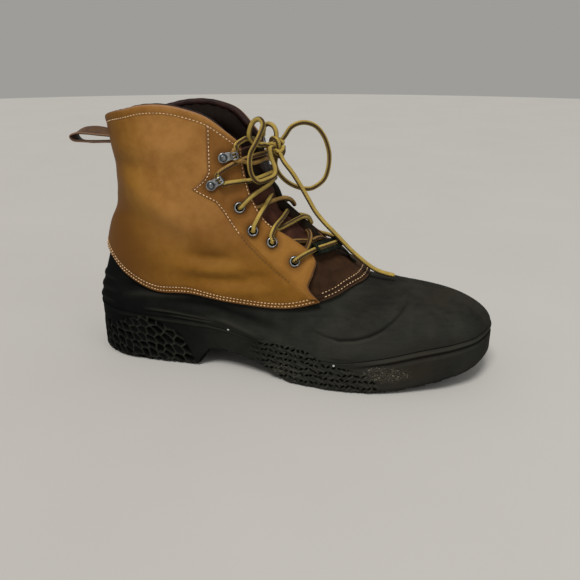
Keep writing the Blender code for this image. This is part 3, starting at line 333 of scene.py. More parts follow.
def relief(angle, height):
    """Folds of the upper: the sum of bells across each fold's line, faded at the line's ends,
    and the flare of the inner flap, a square law from 20 degrees behind its edge."""
    angle, height = np.broadcast_arrays(np.asarray(angle, float), np.asarray(height, float))
    point, side = last_ring(angle, height), side_of(angle)
    total = np.zeros(height.shape)
    for fold in FOLDS:
        d, where = line_distance(point[..., 0], point[..., 2], tenths(fold.line))
        on = 1.0 if fold.side == 0 else (side == fold.side)
        ends = np.sin(np.pi * np.clip(where, 0.04, 0.96)) ** 0.5
        total += on * tenths(fold.rise) * bell(d, tenths(fold.width)) * ends
    back = from_front(angle) - angle_by_height(THROAT, height)
    near_edge = np.clip(1 - back / math.radians(20.0), 0.0, 1.3) ** 2
    return total + (side < 0) * read(FLAP_FLARE, height) * near_edge


def upper(angle, height, depth):
    """A point of the upper: the last moved outwards by depth and by the leather's relief."""
    return layer(angle, height, np.asarray(depth) + relief(angle, height))


def sunk(angle, height):
    """How far the tongue lies below the last: full on the outer side, nothing beyond the line where
    its slack lies folded on the inner side, and nothing at its own edge."""
    edge = angle_by_height(THROAT, height) + math.radians(16.0)
    share = np.clip(np.abs(angle) / edge, 0, 1)
    fold = read(TONGUE_FOLD, height)
    open_part = smooth(fold - 5.5, fold, np.degrees(angle))
    return read(TONGUE_SINK, height) * open_part * (1 - share**4) * (0.5 + 0.5 * np.cos(share * 2.0))


# ---------------------------------------------------------------- meshes
def finish_mesh(name, points, quads, material, replaced=(), tris=(), fields=None, uv=None,
                closed=True):
    """Makes the piece: closed ones are turned so that their signed volume is positive."""
    points = np.asarray(points, float)
    faces = [np.asarray(f) for f in (quads, tris) if len(f)]
    if closed:
        volume = 0.0
        for f in faces:
            for a, b in ((1, 2), (2, 3))[: f.shape[1] - 2]:
                spread = np.cross(points[f[:, a]], points[f[:, b]])
                volume += np.einsum("ij,ij->i", points[f[:, 0]], spread).sum()
        if volume < 0:
            faces = [f[:, ::-1] for f in faces]
            uv = None if uv is None else [c[:, ::-1] for c in uv]
    mesh = bpy.data.meshes.new(name)
    mesh.from_pydata(points.tolist(), [], [row for f in faces for row in f.tolist()])
    if uv is not None:
        layer_uv = mesh.uv_layers.new(name="run")
        layer_uv.data.foreach_set("uv", np.concatenate([c.reshape(-1, 2) for c in uv]).ravel())
    for key, values in (fields or {}).items():
        data = mesh.attributes.new(key, "FLOAT", "POINT").data
        data.foreach_set("value", np.asarray(values, float).ravel())
    mesh.shade_smooth()
    mesh.materials.append(material)
    obj = shown(name, mesh)
    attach(obj, "root")
    if replaced:
        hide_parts(*replaced)
    return obj


def graded(count, length, edge):
    """Positions 0 to 1 whose ends are dense enough to carry a rounding of width edge."""
    e = edge / length
    ends = np.array([0.0, 0.05, 0.18, 0.42, 0.72]) * e
    return np.concatenate([ends, np.linspace(e, 1 - e, count), 1 - ends[::-1]])


def run_lengths(points, axis):
    """Length along rows or columns from the first point, and the whole length of each."""
    step = np.linalg.norm(np.diff(points, axis=axis), axis=-1)
    ahead = np.cumsum(np.pad(step, [(1, 0), (0, 0)] if axis == 0 else [(0, 0), (1, 0)]), axis=axis)
    return ahead, np.take(ahead, [-1], axis=axis)


def border_distance(points):
    """Distance of each grid point to the nearest border, measured along rows and columns."""
    return np.min([np.minimum(ahead, whole - ahead)
                   for ahead, whole in (run_lengths(points, axis) for axis in (0, 1))], axis=0)


def corners(grid):
    """The four corners of each cell of a grid, in turn."""
    return np.stack([grid[:-1, :-1], grid[:-1, 1:], grid[1:, 1:], grid[1:, :-1]], 2)


def band(index):
    """Quads between rings that each close."""
    return corners(np.column_stack([index, index[:, 0]])).reshape(-1, 4)


def dome(share, least=0.0):
    """Quarter circle: sqrt(1 - (1 - share)^2), from least on."""
    return np.sqrt(1 - (1 - np.clip(share, least, 1)) ** 2)


def circles(path, size, across, over, turn):
    """Rings about a path in its two cross directions."""
    c, s = np.cos(turn)[:, None], np.sin(turn)[:, None]
    return path[..., None, :] + size[..., None, None] * (across[..., None, :] * c + over[..., None, :] * s)


def squared(out, run):
    """Unit directions: out without its part along run."""
    return unit(out - run * (out * run).sum(axis=1, keepdims=True))


def grid_normal(grid):
    """Normals of a grid of points, turned from its rows to its columns."""
    return unit(np.cross(np.gradient(grid, axis=0), np.gradient(grid, axis=1)))


def sheet_index(rows, columns, holes=None):
    """Quads of two faces of a sheet that share their border, and which vertices the lower face
    has of its own. holes marks vertices that are cut out; the cut is walled from face to face."""
    top = np.arange(rows * columns).reshape(rows, columns)
    inner = np.zeros((rows, columns), bool)
    inner[1:-1, 1:-1] = True
    low = top.copy()
    low[inner] = rows * columns + np.arange(inner.sum())
    quad, under = corners(top), corners(low)[..., [0, 3, 2, 1]]
    if holes is None or not holes.any():
        return inner, np.concatenate([quad.reshape(-1, 4), under.reshape(-1, 4)])
    keep = ~corners(holes).any(axis=-1)
    walls = []
    for axis in (0, 1):
        change = keep != np.roll(keep, 1, axis=axis)
        change[(0, slice(None)) if axis == 0 else (slice(None), 0)] = False
        r, c = np.nonzero(change)
        a, b = (r, c), ((r, c + 1) if axis == 0 else (r + 1, c))
        wall = np.stack([top[a], top[b], low[b], low[a]], -1)
        flip = keep[r, c] == (axis == 0)
        wall[flip] = wall[flip][:, ::-1]
        walls.append(wall)
    return inner, np.concatenate([quad[keep], under[keep]] + walls)


def sheet(name, middle, normal, half, rounding, material, replaced=(), holes=None, fields=None):
    """A leather sheet: a middle surface thickened by half to both sides, its border rounded off
    as a quarter circle over the rounding's width."""
    d = border_distance(middle)
    reach = (half * dome(d / rounding))[..., None]
    inner, quads = sheet_index(*d.shape, holes)
    points = np.concatenate([(middle + normal * reach).reshape(-1, 3), (middle - normal * reach)[inner]])
    values = {"edge": 1 - np.clip(d / 0.004, 0, 1)} | (fields or {})
    values = {k: np.concatenate([v.ravel(), v[inner]]) for k, v in values.items()}
    values["inside"] = np.repeat([0.0, 1.0], [d.size, inner.sum()])
    used, number = np.unique(quads, return_inverse=True)
    return finish_mesh(name, place(points[used]), number.reshape(-1, 4), material, replaced,
                       fields={k: v[used] for k, v in values.items()})


def ring_solid(name, rings, material, replaced=(), fields=None, caps=True, uv=None):
    """Rings of points that each close, joined in order; caps closes both ends with fans."""
    rings = np.asarray(rings, float)
    count, sides = rings.shape[:2]
    index = np.arange(count * sides).reshape(count, sides)
    quads, points, tris = band(index), rings.reshape(-1, 3), []
    if caps:
        points = np.concatenate([points, rings[[0, -1]].mean(axis=1)])
        ahead = np.roll(index, -1, axis=1)
        tris = np.concatenate([np.stack([np.full(sides, index.size), ahead[0], index[0]], -1),
                               np.stack([np.full(sides, index.size + 1), index[-1], ahead[-1]], -1)])
    else:
        quads = np.concatenate([quads, band(index[[-1, 0]])])
    fields = {k: np.append(v, np.zeros(len(points) - index.size)) for k, v in (fields or {}).items()}
    if uv is not None:
        uv = [corners(uv).reshape(-1, 4, 2), np.full((2 * sides, 3, 2), [0.1, 0.0])]
    return finish_mesh(name, points, quads, material, replaced, tris, fields, uv)


def read_along(length, values, at):
    """Rows of values, one for each length, read at other lengths."""
    return np.stack([np.interp(at, length, one) for one in values.T], -1)


def resample(points, step):
    """The smooth curve through points, read at even lengths close to step."""
    points = np.asarray(points, float)
    gaps = np.linalg.norm(np.diff(points, axis=0), axis=1)
    knots = np.concatenate([[0], np.cumsum(np.sqrt(gaps))])
    fine = np.linspace(0, knots[-1], 24 * len(points))
    dense = np.column_stack([through(knots, points[:, k], fine) for k in range(3)])
    length = lengths(dense)
    at = np.linspace(0, length[-1], max(int(length[-1] / step), 4))
    return read_along(length, dense, at)


def carried_frames(path):
    """Tangents and two cross directions along a path, each carried from the one before so that
    nothing twists."""
    run = unit(np.gradient(path, axis=0))
    side = np.cross(run[0], [0.0, 0.0, 1.0])
    if np.linalg.norm(side) < 1e-3:
        side = np.cross(run[0], [0.0, 1.0, 0.0])
    sides = []
    for t in run:
        side = side - t * (side @ t)
        side = side / np.linalg.norm(side)
        sides.append(side)
    sides = np.array(sides)
    return run, sides, np.cross(run, sides)


def cord_tube(name, points, material, replaced=(), spin=0.0):
    """A braided round lace along points: rings of 14 in carried frames, its ends drawn in to a
    rounded tip. Its uv run is (share of a turn, length in lace widths)."""
    path, sides = resample(points, 0.0009), 14
    _, across, over = carried_frames(path)
    length = lengths(path)
    size = LACE_RADIUS * dome(np.minimum(length, length[-1] - length) / LACE_RADIUS, 0.06)
    uv = np.dstack(np.meshgrid(np.arange(sides + 1) / sides, length / (2 * LACE_RADIUS)))
    rings = circles(path, size, across, over, full_turn(sides) + spin)
    return ring_solid(name, place(rings), material, replaced, uv=uv), place(path)


def stitch_row(path, normals, pitch=0.0026, length=0.0018, radius=0.00035):
    """Thread stitches along a path: each a bowed capsule of 5 rings of 6, sunk at both ends.
    Returns points and quads to be joined with other rows."""
    path, normals = np.asarray(path, float), np.asarray(normals, float)
    length_at = lengths(path)
    count = max(int(length_at[-1] / pitch), 1)
    centre = (np.arange(count) + 0.5) * length_at[-1] / count
    at = centre[:, None] + np.array([-0.5, -0.32, 0.0, 0.32, 0.5]) * length
    spine, out = read_along(length_at, path, at), unit(read_along(length_at, normals, at))
    across = np.cross(unit(np.gradient(spine, axis=1)), out)
    spine = spine + out * radius * np.array([-1.0, 0.25, 0.6, 0.25, -1.0])[:, None]
    rings = circles(spine, radius * np.array([0.35, 0.95, 1.0, 0.95, 0.35]), across, out, full_turn(6))
    block = np.arange(30).reshape(5, 6)
    quads = np.concatenate([band(block), [[0, 5, 4, 3], [0, 3, 2, 1], [24, 25, 26, 27], [24, 27, 28, 29]]])
    return rings.reshape(-1, 3), (quads[None] + 30 * np.arange(count)[:, None, None]).reshape(-1, 4)


# ---------------------------------------------------------------- materials
class Tree:
    """A node tree with short calls for the nodes that the looks need."""

    def __init__(self, tree):
        self.tree = tree

    def link(self, value, socket):
        """Links a socket or sets a value; a colour is given without its alpha."""
        if isinstance(value, bpy.types.NodeSocket):
            self.tree.links.new(value, socket)
        else:
            socket.default_value = (*value, 1) if socket.type == "RGBA" else value

    def node(self, kind, sockets, **settings):
        """One shader node's outputs: settings are its properties, sockets its values or links."""
        made = self.tree.nodes.new("ShaderNode" + kind)
        for key, value in settings.items():
            setattr(made, key, value)
        for key, value in sockets.items():
            self.link(value, made.inputs[key])
        return made.outputs

    def math(self, operation, a, b=0.0, c=0.0, clamp=False):
        return self.node("Math", {0: a, 1: b, 2: c}, operation=operation, use_clamp=clamp)[0]

    def times(self, a, b, clamp=False):
        return self.math("MULTIPLY", a, b, clamp=clamp)

    def times_plus(self, a, b, c):
        return self.math("MULTIPLY_ADD", a, b, c)

    def mix(self, share, a, b):
        return self.node("Mix", {0: share, 6: a, 7: b}, data_type="RGBA")[2]

    def ramp(self, value, low, high, to_low=0.0, to_high=1.0):
        """Smooth step of value from low..high to to_low..to_high."""
        return self.node("MapRange", {0: value, 1: low, 2: high, 3: to_low, 4: to_high},
                         interpolation_type="SMOOTHSTEP")[0]

    def noise(self, vector, scale, detail=3.0, rough=0.55, warp=0.0):
        return self.node("TexNoise", {"Vector": vector, "Scale": scale, "Detail": detail,
                                      "Roughness": rough, "Distortion": warp})["Fac"]

    def stretched(self, vector, *factors):
        return self.node("VectorMath", {0: vector, 1: factors}, operation="MULTIPLY")[0]

    def group(self, name, **sockets):
        return self.node("Group", sockets, node_tree=GROUPS[name])


class Look(Tree):
    """A material with its Principled shader; where is the object coordinates."""

    def __init__(self, name, **constants):
        self.material = bpy.data.materials.new(name)
        self.material.use_nodes = True
        super().__init__(self.material.node_tree)
        self.shader = self.tree.nodes["Principled BSDF"].inputs
        for key, value in constants.items():
            self.shader[key.replace("_", " ")].default_value = value
        self.where = self.node("TexCoord", {})["Object"]

    def field(self, name):
        return self.node("Attribute", {}, attribute_name=name, attribute_type="GEOMETRY")["Fac"]

    def cloud(self, scale, detail=3.0, rough=0.55, warp=0.0, stretch=None):
        """Noise over the object, stretched by three factors where they are given."""
        vector = self.stretched(self.where, *stretch) if stretch else self.where
        return self.noise(vector, scale, detail, rough, warp)

    def spot(self, centre, radii, ragged, scale):
        """Mask of a ragged patch round a place: noise eats into an ellipsoid's border."""
        away = self.node("VectorMath", {0: self.where, 1: tuple(centre)}, operation="SUBTRACT")[0]
        far = self.node("VectorMath", {0: self.stretched(away, *(1 / radii))}, operation="LENGTH")["Value"]
        far = self.times_plus(self.cloud(scale, 3.0, 0.7), ragged * 2, far)
        return self.ramp(far, 1.0 + ragged * 0.9, 0.75 + ragged * 0.9)

    def wave(self, scale, distortion, direction):
        return self.node("TexWave", {"Vector": self.where, "Scale": scale, "Distortion": distortion},
                         bands_direction=direction)["Fac"]

    def finish(self, color, roughness=None, height=None, depth=0.0):
        self.link(color, self.shader["Base Color"])
        if roughness:
            self.link(roughness, self.shader["Roughness"])
        if height:
            bump = self.node("Bump", {"Height": height, "Distance": depth, "Strength": 1.0})
            self.link(bump[0], self.shader["Normal"])
        return self.material


def toned(color, *factors):
    """A colour times one factor, or one for each of its parts."""
    return tuple(np.array(color) * factors)


def new_group(name, inputs, outputs):
    """A node group with named sockets: each input's value, None for a vector, and the outputs."""
    tree = bpy.data.node_groups.new(name, "ShaderNodeTree")
    for label, value in inputs.items():
        kind = "NodeSocketVector" if value is None else "NodeSocketFloat"
        made = tree.interface.new_socket(label, in_out="INPUT", socket_type=kind)
        if value is not None:
            made.default_value = value
    for label in outputs:
        tree.interface.new_socket(label, in_out="OUTPUT", socket_type="NodeSocketFloat")
    return Tree(tree), tree.nodes.new("NodeGroupInput").outputs, tree.nodes.new("NodeGroupOutput").inputs


def grain_group():
    """Leather grain: small cells whose borders are creased, over finer pores and soft waves."""
    t, given, out = new_group("leather_grain", {"Vector": None, "Scale": 900.0, "Pores": 0.4}, ["Height"])
    bend = t.times(t.noise(given["Vector"], 260.0, 2.0), 0.0016)
    waves = t.node("CombineXYZ", {"X": bend, "Y": bend, "Z": bend})[0]
    moved = t.node("VectorMath", {0: given["Vector"], 1: (1, 1, 1), 2: waves}, operation="MULTIPLY_ADD")[0]
    cells = t.node("TexVoronoi", {"Vector": moved, "Scale": given["Scale"]}, feature="DISTANCE_TO_EDGE")
    pores = t.times(t.noise(given["Vector"], 2600.0, 2.0), given["Pores"])
    t.link(t.math("ADD", t.ramp(cells["Distance"], 0.0, 0.22), pores), out["Height"])
    return t.tree


def mottle_group():
    """Uneven tone: a broad cloud and a finer one, put out as one mask around 0.5."""
    t, given, out = new_group("mottle", {"Vector": None, "Broad": 22.0, "Fine": 120.0}, ["Mask"])
    broad = t.noise(given["Vector"], given["Broad"], 3.0, 0.6, 0.4)
    fine = t.noise(given["Vector"], given["Fine"], 4.0, 0.65)
    t.link(t.ramp(t.times_plus(fine, 0.35, t.times(broad, 0.65)), 0.30, 0.72), out["Mask"])
    return t.tree


def wear_group():
    """Rubbed edges: the border mask broken up by noise."""
    t, given, out = new_group("edge_wear", {"Edge": 0.0, "Vector": None, "Reach": 0.55}, ["Mask"])
    spread = t.times_plus(t.noise(given["Vector"], 420.0, 3.0, 0.7), 0.5, given["Edge"])
    start, end = (t.math("ADD", given["Reach"], share) for share in (0.25, 0.60))
    t.link(t.ramp(spread, start, end), out["Mask"])
    return t.tree


def dust_group():
    """Dry dust: clouds and short streaks, more on faces that look up and in hollows."""
    t, given, out = new_group("dust", {"Vector": None, "Amount": 0.4, "Hollow": 0.0}, ["Mask"])
    clouds = t.noise(given["Vector"], 34.0, 5.0, 0.68, 0.6)
    streaks = t.noise(t.stretched(given["Vector"], 70.0, 70.0, 520.0), 1.0, 3.0, 0.7)
    facing = t.node("SeparateXYZ", {0: t.node("NewGeometry", {})["Normal"]})["Z"]
    mixed = t.times_plus(streaks, 0.35, t.times(clouds, 0.75))
    mask = t.times(t.ramp(mixed, 0.38, 0.72), t.ramp(facing, -0.2, 0.9, 0.35, 1.0))
    mask = t.times_plus(given["Hollow"], 0.6, mask)
    t.link(t.times(mask, given["Amount"], clamp=True), out["Mask"])
    return t.tree


def braid_group():
    """Braided yarns round a cord from its uv: two sets of helices that pass over and under.
    Puts out the height of the yarns and a mask of the yarns that are brown."""
    t, given, out = new_group("braid", {"Run": None, "Yarns": 8.0, "Pitch": 0.75}, ["Height", "Brown"])
    parts = t.node("SeparateXYZ", {0: given["Run"]})
    turn = t.times(parts["X"], given["Yarns"])
    along = t.times(t.math("DIVIDE", parts["Y"], given["Pitch"]), 2.0)
    right, left = t.math("ADD", along, turn), t.math("SUBTRACT", along, turn)
    waves = [t.math("ABSOLUTE", t.math("SINE", t.times(path, math.pi))) for path in (right, left)]
    t.link(t.math("POWER", t.times(*waves), 0.6), out["Height"])
    stripe = t.math("COSINE", t.times(parts["X"], 4 * math.pi))
    dash = t.math("SINE", t.times(right, 2 * math.pi))
    t.link(t.ramp(t.times_plus(dash, 0.38, stripe), 0.30, 0.58), out["Brown"])
    return t.tree


GROUPS = {"grain": grain_group(), "mottle": mottle_group(), "wear": wear_group(), "dust": dust_group(),
          "braid": braid_group()}


def leather(name, dark, light, edge_color, roughness=0.50, grain=1900.0, depth=0.00005, broad=22.0,
            inside=(0.030, 0.018, 0.014), scuffs=0.25, shine=0.30, low=None):
    """Leather: two tones mixed by the mottle, darker along seams and pores, a raw cut edge, scuffed
    crests, and a fleshy inner face where the inside field is 1. Where the low field is 1 the two
    tones of low stand in for the others."""
    t = Look(name, Specular_IOR_Level=shine)
    tone = t.group("mottle", Vector=t.where, Broad=broad)["Mask"]
    color = t.mix(tone, dark, light)
    if low:
        color = t.mix(t.field("low"), color, t.mix(tone, *low))
    color = t.mix(t.times(t.field("seam"), 1.0, clamp=True), color, toned(dark, 0.576))
    scuff = t.ramp(t.cloud(1.0, 4.0, 0.75, 0.8, (180.0, 180.0, 520.0)), 0.60, 0.78)
    color = t.mix(t.times(scuff, scuffs), color, tuple(min(c * 1.35 + 0.02, 1) for c in light))
    wear = t.group("wear", Edge=t.field("edge"), Vector=t.where, Reach=0.62)["Mask"]
    color = t.mix(wear, color, edge_color)
    # Darker where the shade field is high: painted shade, and wear where a piece sets it.
    shade = t.times(t.field("shade"), 1.0, clamp=True)
    color = t.mix(shade, color, toned(dark, 0.40, 0.36, 0.25))
    color = t.mix(t.field("inside"), color, inside)
    height = t.group("grain", Vector=t.where, Scale=grain)["Height"]
    rough = t.times_plus(height, -0.08, t.times_plus(tone, 0.10, roughness))
    return t.finish(color, rough, t.times_plus(t.cloud(75.0), 3.0, height), depth)


# Dried mud and pale specks on the rubber: place and half sizes in tenths of a millimetre, and the
# mud's amount.
MUD = [((2430, -560, 165), (200, 220, 66), 0.66), ((1680, -520, 100), (150, 220, 56), 0.42)]
SPECKS = [((2138, -590, 561), (21, 200, 9)), ((2118, -590, 570), (10, 200, 6)),
          ((1243, -450, 624), (9, 160, 8)), ((1213, -450, 346), (10, 60, 8)),
          ((2053, -600, 214), (10, 80, 10))]


def rubber_material():
    """Matt moulded rubber: near black, dusty and browner towards the toe and darkest at the heel,
    where the darkness is painted shade; black in its pits as painted shade and paler on its ridges,
    rubbed and with a painted highlight, with smears of dry mud and a few pale specks."""
    t = Look("black_rubber_looks", Specular_IOR_Level=0.025)
    tone = t.group("mottle", Vector=t.where, Broad=16.0, Fine=90.0)["Mask"]
    color = t.mix(tone, (0.0016, 0.0019, 0.0022), (0.0038, 0.0042, 0.0044))
    along = t.node("SeparateXYZ", {0: t.where})["X"]
    # Greyer and dustier towards the toe, with less of both at the heel, which stays dark as painted shade.
    forward = t.ramp(along, -0.150, 0.050)
    color = t.mix(t.times(forward, t.ramp(tone, 0.0, 1.0, 0.45, 0.85)), color, (0.0250, 0.0258, 0.0222))
    dust = t.group("dust", Vector=t.where, Amount=t.times_plus(forward, 0.30, 0.02))["Mask"]
    color = t.mix(dust, color, (0.052, 0.050, 0.040))
    toe = t.times(t.ramp(along, 0.030, 0.130), t.ramp(t.cloud(26.0, 4.0, 0.6), 0.34, 0.72, 0.0, 0.50))
    color = t.mix(toe, color, (0.034, 0.026, 0.018))
    # Paler ridges and moulded lines: rubbed wear and a painted highlight, stronger towards the toe.
    lit = t.times(t.field("crest_wear_and_sheen"), t.times_plus(forward, 0.40, 0.22))
    color = t.mix(lit, color, (0.078, 0.075, 0.058))
    # Painted shade in the pits, grooves and sunk cells.
    color = t.mix(t.times(t.field("hollow_shade"), 0.92), color, (0.0018, 0.0018, 0.0018))
    streak = t.ramp(t.cloud(1.0, 4.0, 0.7, 1.0, (700.0, 200.0, 1500.0)), 0.53, 0.66)
    for centre, radii, amount in MUD:
        mud = t.times(t.spot(place(tenths(centre)), tenths(radii), 0.6, 300.0), streak)
        color = t.mix(t.times(mud, amount), color, (0.300, 0.280, 0.200))
    for centre, radii in SPECKS:
        color = t.mix(t.spot(place(tenths(centre)), tenths(radii), 0.3, 900.0), color, (0.62, 0.62, 0.58))
    rough = t.times_plus(dust, 0.20, t.times_plus(tone, 0.10, 0.66))
    height = t.times_plus(t.cloud(110.0), 2.2, t.cloud(1500.0, 3.0, 0.6))
    return t.finish(color, rough, height, 0.00012)


def lace_material(name, gold, brown):
    """Round braid: gold yarns with two rows of brown dashes and painted shade between the yarns,
    from the cord's own uv.
    """
    t = Look(name, Roughness=0.66, Specular_IOR_Level=0.30)
    yarn = t.group("braid", Run=t.node("UVMap", {}, uv_map="run")[0])
    color = t.mix(t.ramp(t.cloud(90.0, 2.0), 0.3, 0.7), toned(gold, 0.74), gold)
    color = t.mix(t.times(yarn["Brown"], 1.0), color, brown)
    # Painted shade between the yarns, where the braid is low.
    color = t.mix(t.ramp(yarn["Height"], 0.0, 0.40, 0.70, 0.0), color, toned(gold, 0.22))
    return t.finish(color, None, yarn["Height"], 0.00030)


def metal_material():
    """Aged nickel plate: grey-blue with dark tarnish, darker where the shade field is high, which is
    painted shade and, on the rivets' domes, a painted reflection.
    """
    t = Look("pewter_looks", Metallic=1.0)
    tarnish = t.cloud(420.0, 4.0, 0.65)
    color = t.mix(t.ramp(tarnish, 0.35, 0.70), (0.50, 0.53, 0.56), (0.17, 0.17, 0.17))
    color = t.mix(t.field("shade"), color, (0.030, 0.040, 0.050))
    return t.finish(color, t.ramp(tarnish, 0.30, 0.75, 0.24, 0.50), t.cloud(1800.0, 2.0), 0.00004)


def thread_material(name, color):
    """Twisted sewing thread: slanted plies from a wave over object coordinates."""
    t = Look(name, Roughness=0.75, Sheen_Weight=0.2)
    dirt = t.ramp(t.cloud(260.0, 3.0, 0.6), 0.42, 0.70)
    return t.finish(t.mix(dirt, color, toned(color, 0.45)), None, t.wave(900.0, 2.0, "DIAGONAL"), 0.00010)


def webbing_material():
    """Dark webbing: crossed ribs from two waves, green-black with paler crests, worn and with a
    painted highlight.
    """
    t = Look("keeper_webbing_looks", Roughness=0.80, Specular_IOR_Level=0.10)
    height = t.times(t.wave(430.0, 1.0, "X"), t.wave(430.0, 1.0, "Z"))
    color = t.mix(t.ramp(t.cloud(150.0), 0.45, 0.65), (0.0045, 0.0055, 0.0040), (0.0120, 0.0170, 0.0090))
    # Paler rib crests: wear and a painted highlight.
    color = t.mix(t.ramp(height, 0.55, 0.95, 0.0, 0.5), color, (0.045, 0.052, 0.030))
    return t.finish(color, None, height, 0.00025)


def felt_material():
    """Grey-brown felt: matted fibres from stretched noise, worn darker in the middle."""
    t = Look("insole_felt_looks", Roughness=0.95, Sheen_Weight=0.4)
    fuzz = t.cloud(1.0, 4.0, 0.7, 1.5, (700.0, 2600.0, 900.0))
    color = t.mix(fuzz, (0.030, 0.026, 0.022), (0.085, 0.074, 0.062))
    color = t.mix(t.ramp(t.cloud(18.0), 0.4, 0.65, 0.0, 0.5), color, (0.022, 0.018, 0.015))
    return t.finish(color, None, fuzz, 0.0004)


RUBBER = rubber_material()
# The tan's low tones, a little darker and less blue, are painted shade on the shaft.
TAN = leather("tan_leather_looks", (0.262, 0.109, 0.0225), (0.425, 0.208, 0.0570), (0.400, 0.220, 0.115),
              0.52, shine=0.09, low=((0.245, 0.103, 0.0110), (0.400, 0.194, 0.0290)))
STAY = leather("eyestay_leather_looks", (0.190, 0.076, 0.0145), (0.272, 0.121, 0.0290),
               (0.210, 0.100, 0.040), 0.52, shine=0.10,
               low=((0.270, 0.115, 0.0185), (0.362, 0.173, 0.0370)))
BROWN = leather("brown_leather_looks", (0.024, 0.0106, 0.0050), (0.070, 0.0335, 0.0138),
                (0.130, 0.068, 0.038), 0.70, 1200.0, 0.00009, 40.0, scuffs=0.30, shine=0.10)
TONGUE = leather("tongue_leather_looks", (0.036, 0.0125, 0.0080), (0.100, 0.0390, 0.0235),
                 (0.070, 0.030, 0.020), 0.74, 1100.0, 0.00010, 46.0, scuffs=0.22, shine=0.10,
                 low=((0.0075, 0.0052, 0.0028), (0.0190, 0.0138, 0.0078)))
EDGING = leather("dark_edging_looks", (0.011, 0.0042, 0.0034), (0.034, 0.0120, 0.0090),
                 (0.055, 0.022, 0.016), 0.50, 800.0, 0.00012, 60.0, scuffs=0.12, shine=0.18)
LINING = leather("lining_looks", (0.0130, 0.0076, 0.0060), (0.0290, 0.0165, 0.0130), (0.030, 0.014, 0.010),
                 0.72, 500.0, 0.00014, 50.0, inside=(0.012, 0.0075, 0.006), scuffs=0.08, shine=0.06)
LOOP = leather("loop_leather_looks", (0.075, 0.033, 0.0120), (0.150, 0.072, 0.029), (0.200, 0.110, 0.058),
               0.50, 850.0, 0.00012, 60.0, inside=(0.052, 0.024, 0.010))
METAL = metal_material()
THREAD = thread_material("cream_thread_looks", (0.94, 0.65, 0.36))
PUNCHED = thread_material("punched_hole_looks", (0.062, 0.026, 0.0075))
LACE = lace_material("lace_looks", (0.575, 0.405, 0.088), (0.040, 0.016, 0.0060))
# A darker copy of the lace, painted shade for some of the strands.
LACE_SHADED = lace_material("lace_shaded_looks", (0.445, 0.258, 0.064), (0.042, 0.016, 0.0070))
WEBBING = webbing_material()
FELT = felt_material()


# ---------------------------------------------------------------- camera and light
def shown(name, data, where=(0, 0, 0), turn=(0, 0, 0)):
    """A new object in the scene."""
    obj = bpy.data.objects.new(name, data)
    obj.location, obj.rotation_euler = where, turn
    bpy.context.scene.collection.objects.link(obj)
    return obj


CAMERA_PLACE, CAMERA_TURN, CAMERA_DIP = (0.1083, -0.4533, 0.2343), 12.3, 21.13


def add_camera():
    """Low three-quarter view on the outer side, a little above the collar, looking down."""
    data = bpy.data.cameras.new("camera")
    data.sensor_width, data.lens, data.clip_start = 36.0, 38.66, 0.01
    turn = (math.radians(90 - CAMERA_DIP), 0.0, math.radians(CAMERA_TURN))
    bpy.context.scene.camera = shown("camera", data, CAMERA_PLACE, turn)


def add_light(name, kind, where, power, color):
    """A light of a kind that looks at the boot from a place."""
    data = bpy.data.lights.new(name, kind)
    data.energy, data.color = power, color
    shown(name, data, where, (Vector((0.0, 0.0, 0.08)) - Vector(where)).to_track_quat("-Z", "Y").to_euler())
    return data


def add_studio():
    """A pale floor and a pale sky, a wide soft sun above the outer side and one weak fill."""
    world = bpy.data.worlds.new("studio")
    world.use_nodes = True
    sky = world.node_tree.nodes["Background"].inputs
    sky["Color"].default_value, sky["Strength"].default_value = (0.86, 0.84, 0.80, 1), 0.40
    bpy.context.scene.world = world
    add_light("key", "SUN", (-0.12, -0.75, 1.25), 2.15, (1.0, 0.975, 0.94)).angle = math.radians(20.0)
    fill = add_light("fill", "AREA", (0.95, -0.60, 0.75), 2.0, (0.96, 0.98, 1.0))
    fill.shape, fill.size = "DISK", 0.80
    floor = bpy.data.meshes.new("floor")
    floor.from_pydata([(3.2 * math.cos(a), 3.2 * math.sin(a), -0.0002) for a in full_turn(64)], [],
                      [list(range(64))])
    t = Look("floor_looks", Roughness=0.75)
    floor.materials.append(t.finish(t.mix(t.cloud(5.0), (0.52, 0.51, 0.485), (0.57, 0.56, 0.535))))
    shown("floor", floor)


add_camera()
add_studio()
bpy.context.scene.view_settings.view_transform = "Standard"


# ---------------------------------------------------------------- eyelets' and hooks' places
Seat = namedtuple("Seat", "point normal ahead up")


def seat(hole, side, depth=EYESTAY_LAYER[1]):
    """Place on the upper at a hole, with its outward normal, its direction towards the throat and
    its upward direction."""
    angle, height = math.radians(hole.angle) * side, hole.height * SHAFT_HEIGHT
    across = upper(angle - 0.01, height, depth) - upper(angle + 0.01, height, depth)
    climb = upper(angle, height + 4e-4, depth) - upper(angle, height - 4e-4, depth)
    normal = unit(np.cross(across, climb))
    ahead = unit(across * side - normal * (across * side @ normal))
    rise = np.cross(normal, ahead)
    rise = rise if rise[2] > 0 else -rise
    lean = math.radians(hole.lean)
    return Seat(upper(angle, height, depth), normal, ahead * math.cos(lean) + rise * math.sin(lean),
                rise * math.cos(lean) - ahead * math.sin(lean))


def seats(holes):
    """Each hole's name with its side, and its seat on the facing."""
    for hole in holes:
        for side_name, side in SIDES:
            yield f"{hole.name}_{side_name}", seat(hole, side)


def at_seat(s, rows):
    """Points given in a seat's own axes: towards the throat, up and outwards."""
    rows = np.asarray(rows, float)
    return list(s.point + rows[:, :1] * s.ahead + rows[:, 1:2] * s.up + rows[:, 2:] * s.normal)


# ---------------------------------------------------------------- lace
ON_EDGE = EYESTAY_LAYER[1] + 2 * GAP + LACE_RADIUS + 0.0004
